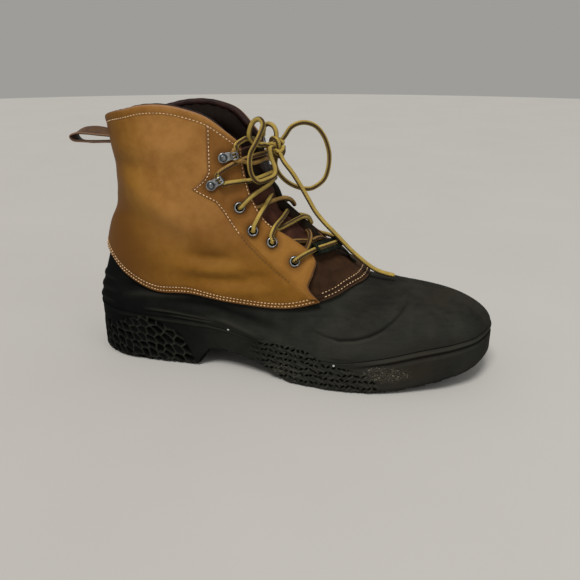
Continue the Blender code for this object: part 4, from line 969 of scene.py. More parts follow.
# In a seat's own axes: the way round a hook's neck, out of an eyelet, and into one from inside.
HOOK_TURN = tenths([(106, -45, 30), (85, -39, 31), (71, -16, 32), (71, 16, 32), (85, 39, 31),
                    (106, 45, 30)])
EYELET_OUT = tenths([(0, 0, -76), (0, 0, -14), (8, 6, 24)])
EYELET_IN = tenths([(50, 0, -100), (8, 0, -88), (0, 0, -60), (0, 0, -34)])
BAR_OUT = tenths([(0, 0, -76), (0, 0, -14), (8, 8, 24)])


def strand_route(number, side):
    """A strand's route: out of its lower hole or off its hook, over the flap's edge, along its
    listed places, and through the far eyelet from inside or round the far hook's neck."""
    below, above = (EYELETS + HOOKS)[number - 1:number + 1]
    start, end = seat(below, side), seat(above, -side)
    route = list(tenths(STRANDS[number, side]))

    def over_edge(flap, near, far, share):
        height = near[2] + (far[2] - near[2]) * share
        return [upper(flap * float(angle_by_height(THROAT, height)), height, ON_EDGE)]

    if number == 1:
        route = at_seat(start, tenths([(0, 0, -50), (40, 0, -95)])) + route
    else:
        begin = at_seat(start, EYELET_OUT if below in EYELETS else HOOK_TURN[-2:])
        route = begin + (over_edge(side, begin[-1], route[0], 0.6) if side < 0 else []) + route
    if above in EYELETS:
        return np.array(route + at_seat(end, EYELET_IN))
    turn = at_seat(end, HOOK_TURN)
    return np.array(route + (over_edge(-side, route[-1], turn[0], 0.4) if side > 0 else []) + turn)


def bar_route():
    """The lowest strand: out of one lowest eyelet, across the vamp through its listed places and into the
    other.
    """
    ends = [at_seat(seat(EYELETS[0], side), BAR_OUT) for side in (1, -1)]
    return np.array(ends[0] + list(tenths(BAR)) + ends[1][::-1])


def from_knot(point):
    """Where a strand towards point leaves the knot's skin."""
    away = point - KNOT_CENTRE
    return KNOT_CENTRE + away / np.linalg.norm(away / KNOT_HALF_SIZE) * 0.72


def bow_route(name):
    """A bow strand's route with its ends taken to the knot or to the upper hook."""
    start, end, route = BOW[name]
    route = list(tenths(route))
    if start == "knot":
        first = [from_knot(route[0])]
    else:
        first = at_seat(seat(HOOKS[-1], dict(SIDES)[start]), HOOK_TURN[-2:])
    return first + route + ([from_knot(route[-1])] if end == "knot" else [])


def build_knot():
    """The bow's knot: three windings of the lace round a small ring, drawn tight and tilted."""
    t, lean = np.linspace(0, 2 * math.pi, 200)[:-1], math.radians(24.0)
    wide, thick = KNOT_HALF_SIZE[0] - LACE_RADIUS - 0.0020, 0.0021
    out = wide + thick * np.cos(4 * t)
    x, y, z = out * np.cos(3 * t), thick * 1.5 * np.sin(4 * t), out * np.sin(3 * t) * 1.25
    turned = [x * math.cos(lean) - z * math.sin(lean), y, x * math.sin(lean) + z * math.cos(lean)]
    return cord_tube("bow_knot", KNOT_CENTRE + np.stack(turned, -1), LACE, ["lace_knot"])[0]


def build_bow():
    knot = build_knot()
    for name, (_, end, _) in BOW.items():
        obj, path = cord_tube("bow_" + name[5:], bow_route(name), LACE, [name])
        tuple(path[0])
        round(float(lengths(path)[-1]), 3)
        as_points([tuple(p) for p in path[:-3:6]] + [tuple(path[-1])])


def build_lacing():
    """The strands between the eyelets and hooks, and the bar between the two lowest eyelets."""
    for k in range(1, 6):
        for side_name, side in SIDES:
            # The lowest and top strands and the inner third one take the darker lace as painted shade.
            finish = LACE_SHADED if k in (1, 5) or (k == 3 and side < 0) else LACE
            cord_tube(f"strand_{k}_{side_name}", strand_route(k, side), finish, [f"lace_crossing_{k}"],
                      spin=0.5 * k + side)
    cord_tube("strand_bar", bar_route(), LACE, ["lace_bar"], spin=1.1)


KEEPER_WALL, STRAP_HALF_WIDTH, VAMP_MIDDLE = 0.0012, 0.0034, 0.105


def build_keeper():
    """Webbing sleeve round the bar, hugging only its underside in the middle, and its strap that
    is folded down to the vamp."""
    bar = resample(bar_route(), 0.0004)
    first, last = (int(np.argmin(np.linalg.norm(bar - tenths(p), axis=1))) for p in KEEPER_ENDS)
    middle = bar[first:last]
    run, _, _ = carried_frames(middle)
    angle = np.arctan2(-middle[:, 1], (middle[:, 0] - VAMP_MIDDLE))
    out = squared(last_normal(angle, middle[:, 2]), run)
    across = np.cross(run, out)
    turn = full_turn(32)
    share = np.linspace(0, 1, len(angle))
    plump = 1 + 0.10 * np.sin(share * math.pi) + 0.03 * np.sin(share * 31)
    bare = (smooth(0.06, 0.14, share) * (1 - smooth(0.84, 0.92, share)))[:, None]
    rings = []
    for wall in (0.0, KEEPER_WALL):
        tall, wide = LACE_RADIUS * 1.12 + wall, LACE_RADIUS * 2.0 + wall
        c, s = np.cos(turn), np.sin(turn)
        c, s = np.abs(c) ** 0.7 * np.sign(c), np.abs(s) ** 0.7 * np.sign(s)
        lift = tall * c[None] * (1 - 0.95 * bare * (c > 0)[None])
        rings.append(middle[:, None] + plump[:, None, None] * (
            out[:, None] * lift[..., None] + across[:, None] * s[None, :, None] * wide))
    ring_solid("keeper_sleeve", place(np.concatenate([rings[1], rings[0][::-1]])), WEBBING,
               ["lace_keeper"], caps=False)
    rise = VAMP_LAYER[1]
    spine = resample([layer(a, z, rise + d) for a, z, d in (
        (0.30, 0.0945, 0.0046), (0.24, 0.0945, 0.0042), (0.19, 0.0930, 0.0038), (0.15, 0.0905, 0.0042),
        (0.11, 0.0880, 0.0034), (0.08, 0.0858, 0.0012), (0.06, 0.0842, 0.0006),
        (0.05, 0.0826, 0.0006))], 0.0006)
    width = np.linspace(-STRAP_HALF_WIDTH, STRAP_HALF_WIDTH, 12)
    grid = spine[:, None] + width[None, :, None] * np.array([-0.25, 0.97, 0.0])
    sheet("keeper_strap", grid, grid_normal(grid), 0.0006, 0.0006, WEBBING)


build_bow()
build_lacing()
build_keeper()


# ---------------------------------------------------------------- metal
def lathe(name, s, profile, count, replaced=()):
    """A closed profile (radius, height, shade) turned about a seat's normal."""
    radius, height, shade = np.array(profile).T[..., None]
    turn = full_turn(count)
    spin = s.ahead * np.cos(turn)[:, None] + s.up * np.sin(turn)[:, None]
    rings = s.point + radius[..., None] * spin + height[..., None] * s.normal
    ring_solid(name, place(rings), METAL, replaced,
               {"shade": np.broadcast_to(shade, rings.shape[:2])}, caps=profile[0][0] < 0.0005)


def build_eyelets():
    """Rolled eyelets: a barrel through the leather and a domed flange with a soft inner lip."""
    # The third column is painted shade: full in the barrel, strong at the flange's rim and none on its
    # crown.
    profile = [(0.0025, -0.0030, 1.0), (0.0025, -0.0008, 1.0), (0.00252, 0.0005, 0.9),
               (0.0027, 0.0009, 0.5), (0.0030, 0.00118, 0.2), (0.0033, 0.00125, 0.0),
               (0.0036, 0.00112, 0.3), (0.0039, 0.00080, 0.6), (0.00415, 0.00042, 0.8),
               (0.0042, 0.00012, 0.9), (0.0041, 0.0, 0.9), (0.0029, 0.0, 1.0), (0.0029, -0.0030, 1.0)]
    for name, s in seats(EYELETS):
        lathe("ring_" + name, s, profile, 40, [name])


def build_hooks():
    """Speed hooks: one strip, round under its rivet, that stands up and curls back with a window in
    its curled-back part, and the rivet's domed head in a groove."""
    # The rivet's third column is painted dark: painted shade at its foot and a painted reflection on its
    # dome.
    rivet = [(0.0002, 0.0006, 1.0), (0.0024, 0.0006, 1.0), (0.00245, 0.0010, 1.0), (0.00235, 0.0015, 0.9),
             (0.0021, 0.0020, 0.7), (0.0016, 0.0024, 0.6), (0.0009, 0.0026, 0.5), (0.0002, 0.00265, 0.5)]
    run = tenths([(-37, 8), (-10, 8), (34, 8), (66, 9), (86, 13), (98, 24), (101, 38), (94, 51),
                  (80, 58), (63, 57), (52, 51)])
    path = resample(np.insert(run, 1, 0.0, axis=1), 0.00024)
    ahead, rise = path[:, 0], path[:, 2]
    share, across = np.linspace(0, 1, len(path)), np.linspace(-1, 1, 29)
    # Half the strip's width: the round plate's, and the neck's in front of it.
    radius = 0.0037
    reach = np.where(share < 0.5, ahead, radius)
    plate = np.sqrt(np.clip(radius**2 - np.minimum(reach, radius) ** 2, 0.0005**2, 1))
    half = np.where(reach > 0, np.maximum(plate, 0.0031 - 0.0004 * smooth(0.003, 0.007, ahead)), plate)
    half = half - 0.0007 * smooth(0.90, 1.0, share) ** 2
    rows = np.stack(np.broadcast_arrays(ahead[:, None], half[:, None] * across, rise[:, None]), -1)
    # Two slots beside a middle bar, on the part that is curled back.
    back = (share > 0.6) & (rise > 0.0045) & (ahead > 0.0062) & (ahead < 0.0088)
    slots = (np.abs(np.abs(across) - 0.40) < 0.26) & back[:, None]
    far = np.hypot(rows[..., 0], rows[..., 1])
    # Painted shade: in the groove round the rivet, at the strip's tip and over its slotted curled part.
    shade = 0.9 * bell(far - 0.0027, 0.00035) * (share < 0.5)[:, None]
    shade = shade + 0.5 * smooth(0.94, 1.0, share)[:, None]
    shade = shade + 0.40 * ((ahead > 0.0058) & (share > 0.6))[:, None] * (np.abs(across) < 0.72)
    for name, s in seats(HOOKS):
        lathe("rivet_" + name, s, rivet, 36)
        grid = np.reshape(at_seat(s, rows.reshape(-1, 3)), rows.shape)
        sheet("clip_" + name, grid, grid_normal(grid), 0.00042, 0.0003, METAL, [name], slots,
              {"shade": np.clip(shade, 0, 1)})


build_eyelets()
build_hooks()


# ---------------------------------------------------------------- leather
def grid_over(columns, width, rows, height, edge):
    """Across from -1 to 1 and climb from 0 to 1, dense along the borders."""
    return np.meshgrid(2 * graded(columns, width, edge) - 1, graded(rows, height, edge))


def shaft_map(across, climb):
    """Ring angle and height on the shaft: across -1..1 from edge to edge, climb 0..1 upwards."""
    def towards(edge_angle):
        return math.pi + (edge_angle - math.pi) * np.abs(across)
    angle = towards(angle_by_height(THROAT, THROAT_LOW + climb * (THROAT_HIGH - THROAT_LOW)))
    bottom = height_at("edge", towards(math.radians(THROAT[0, 1])))
    top = towards(math.radians(THROAT[-1, 1]))
    top = collar_at(np.where(across < 0, top, -top))
    return np.where(across < 0, angle, 2 * math.pi - angle), bottom + climb * (top - bottom)


def hole_mask(points, sides=SIDES, radius=0.0027):
    """Grid points within a radius of an eyelet's axis."""
    mask = np.zeros(points.shape[:2], bool)
    for hole in EYELETS:
        for _, side in sides:
            s = seat(hole, side, 0.0)
            away = points - s.point
            along = away @ s.normal
            far = np.linalg.norm(away - along[..., None] * s.normal, axis=-1)
            mask |= (far < radius) & (np.abs(along) < 0.012)
    return mask


def near_holes(points, reach):
    """1 at an eyelet or hook disc, falling to 0 at reach from its middle."""
    best = np.zeros(points.shape[:2])
    for _, s in seats(EYELETS + HOOKS):
        best = np.maximum(best, 1 - smooth(0.0048, reach, np.linalg.norm(points - s.point, axis=-1)))
    return best


# Distances of the rows of stitches from their borders: two along the rubber, one under the collar,
# those at the facing's back and front edge, and the tongue's.
ROW_LOW, ROW_HIGH, COLLAR_ROW = 0.0022, 0.0050, 0.0057
BACK_ROW, FRONT_ROW, TONGUE_ROW = 0.0016, 0.0022, 0.0050
FURROW_WIDTH, FURROW_DEPTH = 0.0006, 0.00035


def furrows(*distances):
    """The sum of a furrow's bells, one for each row of stitches at a distance."""
    return sum(bell(d, FURROW_WIDTH) for d in distances)


def build_shaft():
    """The tan wall: its rows of stitches press soft furrows, and grime lies along its foot."""
    across, climb = grid_over(250, 0.27, 112, 0.12, 0.0012)
    angle, height = shaft_map(across, climb)
    flat = layer(angle, height, 0.0)
    up, whole = run_lengths(flat, 0)
    seam = furrows(up - ROW_LOW, up - ROW_HIGH, whole - up - COLLAR_ROW)
    middle_depth = sum(SHAFT_LAYER) / 2
    # The leather bows out between the rows of stitches and thins towards its lower edge.
    swell = -FURROW_DEPTH * np.minimum(seam, 1) + 0.0004 * bell(whole - up - 0.0028, 0.0020)
    middle = upper(angle, height, middle_depth + swell)
    # Darker with wear along its foot and its top edge and round the holes; painted shade towards
    # the back and low over the instep, and a painted shadow of a fold low on both sides.
    shade = 0.30 * (1 - smooth(0.0005, 0.010, up)) + 0.35 * (1 - smooth(0.0, 0.0012, whole - up))
    shade += 0.30 * near_holes(middle, 0.012)
    turn = from_front(angle)
    low = (1 - smooth(0.100, 0.145, height)) * (1 - 0.5 * smooth(1.9, 2.6, turn))
    shade += 0.72 * smooth(1.75, 2.55, turn) + 0.46 * low
    shade += 0.22 * bell(np.hypot(middle[..., 0] - 0.112, (middle[..., 2] - 0.0955) * 1.6), 0.009)
    shade = np.clip(shade, 0, 0.9)
    # The tan's low tones are painted shade low down and at the back.
    shade_tones = np.maximum(1 - smooth(0.082, 0.118, height), smooth(1.6, 2.3, turn))
    sheet("shaft_wall", middle, last_normal(angle, height), (SHAFT_LAYER[1] - SHAFT_LAYER[0]) / 2, 0.0012,
          TAN, ["shaft"], holes=hole_mask(middle),
          fields={"seam": 0.8 * np.minimum(seam, 1), "shade": shade, "low": shade_tones})


def back_edge(height):
    """Ring angle of the facing's back edge at a height."""
    return np.radians(np.interp(height, EYESTAY_BACK[:, 0] * SHAFT_HEIGHT, EYESTAY_BACK[:, 1]))


def eyestay_edges(climb):
    """Front and back edge of the facing as angles and heights: the back edge keeps its points."""
    front = THROAT_LOW + 0.0015 + climb * (THROAT_HIGH - THROAT_LOW - 0.0030)
    back_low, back_high = EYESTAY_BACK[0, 0] * SHAFT_HEIGHT, EYESTAY_BACK[-1, 0] * SHAFT_HEIGHT - 0.0035
    back = back_low + climb * (back_high - back_low)
    return angle_by_height(THROAT, front), front, back_edge(back), back


def facing_outside(angle, height):
    """Outer depth of the upper under the collar: the shaft's, or the facing's as it thickens from
    its skived back edge forwards."""
    turn = from_front(angle)
    front = angle_by_height(THROAT, height)
    back = np.clip((turn - front) / (back_edge(height) - front), 0, 1.05)
    thin = 1 - 0.62 * smooth(0.45, 1.0, back)
    facing = EYESTAY_LAYER[0] - 0.0002 + (EYESTAY_LAYER[1] - EYESTAY_LAYER[0] + 0.0002) * thin
    return np.where(back < 1.0, facing, SHAFT_LAYER[1])


def build_eyestays():
    """Redder facings, skived thin towards their stitched back edge."""
    for side_name, side in SIDES:
        back, climb = np.meshgrid(graded(46, 0.030, 0.0008), graded(120, 0.12, 0.0010))
        front_angle, front, back_angle, rear = eyestay_edges(climb)
        angle = front_angle + (back_angle - front_angle) * (0.02 + 0.98 * back)
        height = front + (rear - front) * back
        half = 0.5 * (EYESTAY_LAYER[1] - EYESTAY_LAYER[0]) + 0 * angle
        low = 1 - smooth(0.108, 0.126, height)
        thin = 1 - (0.62 + 0.30 * low) * smooth(0.45 - 0.3 * low, 1.0, back)
        depth = EYESTAY_LAYER[0] - 0.0004 - 0.0007 * low * smooth(0.55, 1.0, back) + (half + 0.0002) * thin
        flat = layer(side * angle, height, 0.0)
        ahead, whole = run_lengths(flat, 1)
        seam = furrows(whole - ahead - BACK_ROW) * smooth(0.085, 0.095, height)
        seam = seam + furrows(ahead - FRONT_ROW) * smooth(0.108, 0.113, height)
        middle = upper(side * angle, height, depth - 0.0003 * np.minimum(seam, 1))
        shade = 0.45 * near_holes(middle, 0.0095) + 0.25 * (1 - smooth(0.0, 0.006, ahead))
        # The inner facing's front edge is painted dark as shade, reaching further low down.
        reach = 0.0010 + 0.0035 * (1 - smooth(0.096, 0.106, height))
        shade = np.clip(shade + (side < 0) * (1 - smooth(0.4 * reach, reach, ahead)), 0, 1)
        sheet(f"facing_{side_name}", middle, last_normal(side * angle, height), half * thin + 0.0002,
              0.0009, STAY, [f"eyestay_{side_name}"],
              holes=hole_mask(middle, [(side_name, side)]),
              fields={"seam": 0.8 * np.minimum(seam, 1), "shade": shade,
                      "low": 1 - smooth(0.100, 0.128, height)})


# How far the vamp and the tongue reach under the leather beside them, in degrees, and their ends.
VAMP_UNDER, VAMP_LOW = 5.0, 0.060
TONGUE_UNDER, TONGUE_LOW, TONGUE_TOP = 14.0, 0.0885, 0.1700


def build_vamp():
    """Dark brown plug with two rows of stitches along the rubber and a soft break over the foot."""
    across, climb = grid_over(90, 0.085, 46, 0.035, 0.0010)
    throat = angle_by_height(THROAT, VAMP_LOW + climb * (VAMP_TOP - VAMP_LOW))
    angle = across * (throat + math.radians(VAMP_UNDER))
    bottom = height_at("edge", angle)
    height = bottom + climb * (VAMP_TOP - bottom)
    flat = layer(angle, height, 0.0)
    up, _ = run_lengths(flat, 0)
    seam = furrows(up - ROW_LOW, up - ROW_HIGH)
    wrinkle = 0.0006 * np.sin(height * 520 + 2.2 * np.sin(across * 3.1)) * smooth(0.006, 0.014, up)
    depth = sum(VAMP_LAYER) / 2 - FURROW_DEPTH * np.minimum(seam, 1)
    middle = layer(angle, height, depth + wrinkle * (0.4 + 0.6 * np.cos(across * 1.4)))
    sheet("vamp_plug", middle, last_normal(angle, height), 0.0010, 0.0010, BROWN, ["vamp"],
          fields={"seam": 0.8 * np.minimum(seam, 1), "shade": 0.3 * (1 - smooth(0.0, 0.006, up))})


def build_tongue():
    """Slack padded tongue: its outer part sunk, a fold of it standing on the inner side and painted
    dark as shade, drawn in at its bound edge, with soft wrinkles."""
    across, climb = grid_over(130, 0.090, 110, 0.095, 0.0014)
    height = TONGUE_LOW + climb * (TONGUE_TOP - 0.010 * across**4 - TONGUE_LOW)
    angle = -across * (angle_by_height(THROAT, height) + math.radians(TONGUE_UNDER))
    inward = np.degrees(angle) - read(TONGUE_FOLD, height)
    # Beyond the fold the tongue takes its dark tones as painted shade on the fold; its top above 0.14 m
    # takes them as well.
    past = (1 - smooth(-2.6, 0.4, inward)) * (1 - smooth(0.140, 0.152, height))
    past = np.maximum(past, 0.85 * smooth(0.136, 0.148, height))
    folds = 0.0009 * np.sin(height * 290 + 2.2 * across + 1.5 * np.sin(height * 90)) * (1 - across**2)
    folds += 0.0006 * np.sin(across * 14 + height * 60) * smooth(0.10, 0.13, height)
    middle = layer(angle, height, sum(TONGUE_LAYER) / 2 - sunk(angle, height) + folds)
    up, whole = run_lengths(middle, 0)
    seam = furrows(whole - up - TONGUE_ROW)
    # Painted shade on its edges under the flaps and in a narrow crease along the fold.
    shade = np.maximum(0.7 * smooth(0.55, 0.9, np.abs(across)),
                       0.9 * bell(inward + 1.6, 1.3) * (height < 0.140))
    sheet("tongue_pad", middle, -grid_normal(middle), 0.0015, 0.0016, TONGUE, ["tongue"],
          fields={"seam": 0.8 * np.minimum(seam, 1), "shade": shade, "low": past})


PATCH_HEIGHT = 0.1560


def build_patch():
    """Plain oval patch sewn on the tongue, a crowned disc of leather without any mark."""
    turn, share = np.meshgrid(full_turn(72), np.array([0.0, 0.2, 0.5, 0.8, 0.92, 1.0]))
    angle = 0.30 * share * np.cos(turn)
    height = PATCH_HEIGHT + 0.0074 * share * np.sin(turn)
    rise = 0.0012 * np.sqrt(np.clip(1 - share**6, 0, 1))
    skin = TONGUE_LAYER[1] - sunk(angle, height)
    rings, under = layer(angle, height, skin + 0.0004 + rise), layer(angle, height, skin - 0.0008)
    ring_solid("tongue_patch", place(np.concatenate([rings[1:], under[1:][::-1]])), EDGING)
    angle, height = 0.26 * np.cos(turn[0]), PATCH_HEIGHT + 0.0062 * np.sin(turn[0])
    path = layer(angle, height, TONGUE_LAYER[1] - sunk(angle, height) + 0.0014)
    return stitch_row(path, last_normal(angle, height), 0.0020, 0.0015, 0.00028)


# The lining's padding: its thickness, its middle's depth under the collar and its half height.
PAD, PAD_DOWN, PAD_REACH = 0.0030, 0.013, 0.0095
ROLL_RADIUS, ROLL_FRONT = 0.0023, math.radians(47.0)
LOOP_HALF_WIDTH, LOOP_HALF_THICK = 0.0068, 0.0009


def build_lining():
    """Lining of the shaft: a dark sheet, padded in a band under the collar."""
    across, climb = grid_over(150, 0.25, 70, 0.13, 0.0012)
    angle, height = shaft_map(across * 0.997, climb)
    turn = from_front(angle)
    collar = collar_at(angle) - 0.0006
    height = np.minimum(height, collar - 0.0008)
    away = smooth(math.radians(48), math.radians(75), turn)
    down = collar - height
    pad = PAD * away * bell(down - PAD_DOWN, PAD_REACH) * (1 - 0.5 * bell(down - 0.0235, 0.0012))
    ripple = 0.0004 * np.sin(turn * 46 + height * 90) * away
    middle = layer(angle, height, -0.0016 - pad + ripple + relief(angle, height))
    sheet("lining", middle, last_normal(angle, height), 0.0006 + pad / 2.2, 0.0010, LINING)


def build_collar_roll():
    """Rolled edge inside the collar: a tube with small puckers, from corner to corner."""
    angle = np.linspace(ROLL_FRONT, 2 * math.pi - ROLL_FRONT, 360)
    height = collar_at(angle) - 0.0024
    path = layer(angle, height, SHAFT_LAYER[0] - 0.0019 + relief(angle, height))
    run, _, _ = carried_frames(path)
    out = squared(last_normal(angle, height), run)
    step = np.arange(len(angle))
    size = ROLL_RADIUS * dome(np.minimum(step, step[::-1]) / 8, 0.05) * (1 + 0.035 * np.sin(step * 0.55))
    rings = circles(path, size, out, 1.15 * np.cross(run, out), full_turn(20))
    ring_solid("collar_roll", place(rings), EDGING, ["collar_rim"])


def build_pull_loop():
    """Leather strap folded back on itself: its legs lean towards each other at the outer side, and
    close to a narrow slot at the heel."""
    wall = float(layer(math.pi, 0.171, SHAFT_LAYER[1])[0]) + 0.0004
    middle = resample([(wall, 0, 0.1724), (0.0110, 0, 0.1738), (0.0000, 0, 0.1746),
                       (-0.0090, 0, 0.1738), (-0.0144, 0, 0.1708), (-0.0124, 0, 0.1680),
                       (-0.0060, 0, 0.1668), (0.0030, 0, 0.1668), (0.0120, 0, 0.1672),
                       (wall, 0, 0.1676)], 0.0008)
    share = np.linspace(0, 1, len(middle))
    run = unit(np.gradient(middle, axis=0))
    out = np.stack([-run[:, 2], np.zeros(len(run)), run[:, 0]], -1)
    width = (2 * graded(22, 0.013, 0.0010) - 1) * LOOP_HALF_WIDTH
    # The outer edge of the upper leg hangs down and that of the lower leg is turned up.
    lean = np.radians(through([0.0, 0.22, 0.45, 0.60, 0.80, 1.0],
                              [10.0, 20.0, 8.0, -8.0, -8.0, -4.0], share))
    cup = -0.0006 * (width / 0.0066) ** 2
    wide = np.stack([np.zeros(len(run)), np.cos(lean), np.abs(np.sin(lean)) * np.sign(lean)], -1)
    grid = middle[:, None] + width[None, :, None] * wide[:, None] + cup[None, :, None] * out[:, None]
    sheet("heel_loop", grid, -grid_normal(grid), LOOP_HALF_THICK, LOOP_HALF_THICK, LOOP,
          ["pull_loop"],
          fields={"seam": bell(np.abs(width) - 0.0052, 0.0005)[None] * np.ones((len(middle), 1)) * 0.5})


def facing_row(side, inset, from_back, low, high):
    """A line on the facing at an inset from its back or front edge, between two heights."""
    front_angle, front, back_angle, rear = eyestay_edges(np.linspace(0, 1, 400))
    a, h, far_a, far_h = front_angle, front, back_angle, rear
    if from_back:
        a, h, far_a, far_h = far_a, far_h, a, h
    share = inset / np.linalg.norm(layer(a, h, 0.0) - layer(far_a, far_h, 0.0), axis=-1)
    a, h = a + (far_a - a) * share, h + (far_h - h) * share
    keep = (h > low) & (h < high)
    return side * a[keep], h[keep]


def sew(name, rows, material):
    """Rows of stitches, each its points and quads, as one piece."""
    starts = np.cumsum([0] + [len(points) for points, _ in rows])
    finish_mesh(name, place(np.concatenate([points for points, _ in rows])),
                np.concatenate([quads + start for (_, quads), start in zip(rows, starts)]), material,
                closed=False)


def build_stitching(dark):
    """All pale rows: two along the rubber, one under the collar, the facing's zigzag and the
    throat's row, then the vamp's two rows. With the dark rows given, the needle's holes below the
    sewn part of the facing's back edge."""
    def row(surface, angle, height, depth, *sizes):
        return stitch_row(surface(angle, height, depth), last_normal(angle, height), *sizes)
    pale, dark, climbs = [], list(dark), np.linspace(0, 1, 40)
    for offset, from_top in ((ROW_LOW, False), (ROW_HIGH, False), (COLLAR_ROW, True)):
        span = np.linspace(-0.985, 0.985, 700) * (0.975 if from_top else 1.0)
        up, whole = run_lengths(layer(*shaft_map(*np.meshgrid(span, climbs)), 0.0), 0)
        target = whole[0] - offset if from_top else np.full(len(span), offset)
        climb = np.array([np.interp(t, one, climbs) for t, one in zip(target, up.T)])
        angle, height = shaft_map(span, climb)
        depth = facing_outside(angle, height) if from_top else SHAFT_LAYER[1]
        pale.append(row(upper, angle, height, depth - 0.00020))
    for _, side in SIDES:
        under, over = EYESTAY_LAYER
        pale.append(row(upper, *facing_row(side, BACK_ROW, True, 0.109, 0.186), under + 0.0003))
        pale.append(row(upper, *facing_row(side, FRONT_ROW, False, 0.112, 0.170), over - 0.0002))
        dark.append(row(upper, *facing_row(side, BACK_ROW, True, 0.074, 0.1085), under + 0.00005,
                        0.0027, 0.0008, 0.00034))
    for offset in (ROW_LOW, ROW_HIGH):
        angle = np.linspace(-0.86, 0.86, 300) * math.radians(63.5)
        pale.append(row(layer, angle, height_at("edge", angle) + offset * 0.93, VAMP_LAYER[1] - 0.00020))
    sew("stitches", pale, THREAD)
    sew("needle_holes", dark, PUNCHED)


build_shaft()
build_eyestays()
build_vamp()
build_tongue()
build_lining()
build_collar_roll()
build_pull_loop()
build_stitching([build_patch()])


# ---------------------------------------------------------------- rubber
TOE_SPRING, SPRING_START, HEEL_ROUND, HEEL_ROUND_END = 0.0170, 0.715, 0.0022, 0.045
LIP_SIDE, LIP_FRONT, LIP_HEIGHT, SHELL_INSET = -0.0014, -0.0048, 0.010, 0.0015
SIDE_WALL, LIP_WALL = 0.0034, 0.0020
GROOVE_DEPTH, GROOVE_PITCH = 0.0040, 0.0420
HEEL_PITCH, NET_PITCH = (0.0074, 0.0066), (0.0080, 0.0047)
ARCH = np.array([(0.291, -0.30), (0.306, 0.36), (0.330, 0.92), (0.350, 1.00), (0.372, 0.97),
                 (0.418, 0.82), (0.459, 0.60), (0.495, 0.30), (0.534, 0.02), (0.560, -0.30)])


def tread_height(x):
    """Underside of the tread: rounded up at the back of the heel, sprung up at the toe."""
    heel = HEEL_ROUND * (1 - smooth(0.0, HEEL_ROUND_END * SOLE_LENGTH, x))
    start = SPRING_START * SOLE_LENGTH
    return heel + TOE_SPRING * np.clip((x - start) / (SOLE_LENGTH - start), 0.0, 1.0) ** 1.6


def under_height(x):
    """Underside with the arch's gap between heel breast and ball."""
    arch = np.interp(x, ARCH[:, 0] * SOLE_LENGTH, ARCH[:, 1] * HEEL_BREAST, left=-1, right=-1)
    return np.maximum(tread_height(x), arch)


def tread_pattern(x, y):
    """How far the tread is cut away at (x, y): swept grooves across, and a zigzag cut between
    them, 4 mm deep with sloped walls."""
    fore = x > 0.5 * SOLE_LENGTH
    bend = np.where(fore, -0.011, 0.011) * np.abs(y) / 0.075
    share = (x - bend) / SOLE_LENGTH
    lines = np.array([0.055, 0.110, 0.165, 0.220] + list(np.arange(0.588, 0.960, GROOVE_PITCH)))
    near = np.min(np.abs(share[..., None] - lines), axis=-1) * SOLE_LENGTH
    cut = 1 - smooth(0.0010, 0.0024, near)
    zigzag = 0.0045 * np.abs(((x / 0.0134) % 2) - 1) * 2
    away = np.abs(y - 0.002)[..., None] - np.array([0.004, 0.022, 0.040]) - zigzag[..., None] * 0.5
    return GROOVE_DEPTH * np.maximum(cut, 1 - smooth(0.0009, 0.0021, np.min(np.abs(away), axis=-1)))


# Upper border of the heel's plates and of the ball's net, in side view (station, height).
HEEL_PLATES = tenths([(0, 270), (200, 270), (350, 340), (500, 380), (580, 365), (640, 337), (770, 278),
                      (820, 235), (880, 120), (930, 0)])
BALL_NET = tenths([(1360, 140), (1390, 240), (1450, 307), (1580, 305), (1660, 302), (1730, 308),
                   (1810, 301), (1885, 260), (1960, 227), (2055, 200), (2170, 180), (2280, 150),
                   (2330, 120), (2400, 40)])


def round_steps(count=1120):
    """Shares of the outline's turn, close together beside the heel's plates and the ball's net."""
    u = np.linspace(0, 0.5, 4000)
    x = SOLE_LENGTH * same_both_sides("along", u)
    plan = outline(u, 0.0)
    step = np.linalg.norm(np.diff(plan, axis=0, prepend=plan[:1]), axis=1)
    dense = np.maximum(1 - smooth(0.088, 0.100, x),
                       smooth(0.125, 0.138, x) * (1 - smooth(0.235, 0.250, x)))
    run = np.cumsum(step * (0.42 + 0.58 * dense))
    side = np.interp(np.linspace(0, run[-1], count // 2 + 1), run, u)
    return np.concatenate([side, 1 - side[1:-1][::-1]])


def girth(u):
    """Length along the outline from the heel's back, counted forwards on both sides."""
    fine = np.linspace(0, 0.5, 3000)
    return np.interp(np.minimum(u, 1 - u), fine, lengths(outline(fine, 0.0)))


def below(table, x, z, soft):
    """1 below a border line of a table in side view, 0 above it and outside its ends."""
    return 1 - smooth(-soft, soft, z - read(table, x, left=-1.0, right=-1.0))


def ball_share(x, z):
    """1 in the ball's net, faded towards its back."""
    return below(BALL_NET, x, z, 0.0010) * smooth(0.134, 0.160, x)


def lattice(rng, columns, pitch, jitter):
    """Nodes of a staggered lattice, each moved at random by up to a share of the pitch."""
    gs, gz = np.meshgrid(np.arange(*columns), np.arange(-1, 8))
    nodes = np.stack([gs + 0.5 * (gz % 2), gz], -1) * pitch
    return nodes + rng.uniform(-jitter, jitter, nodes.shape) * pitch


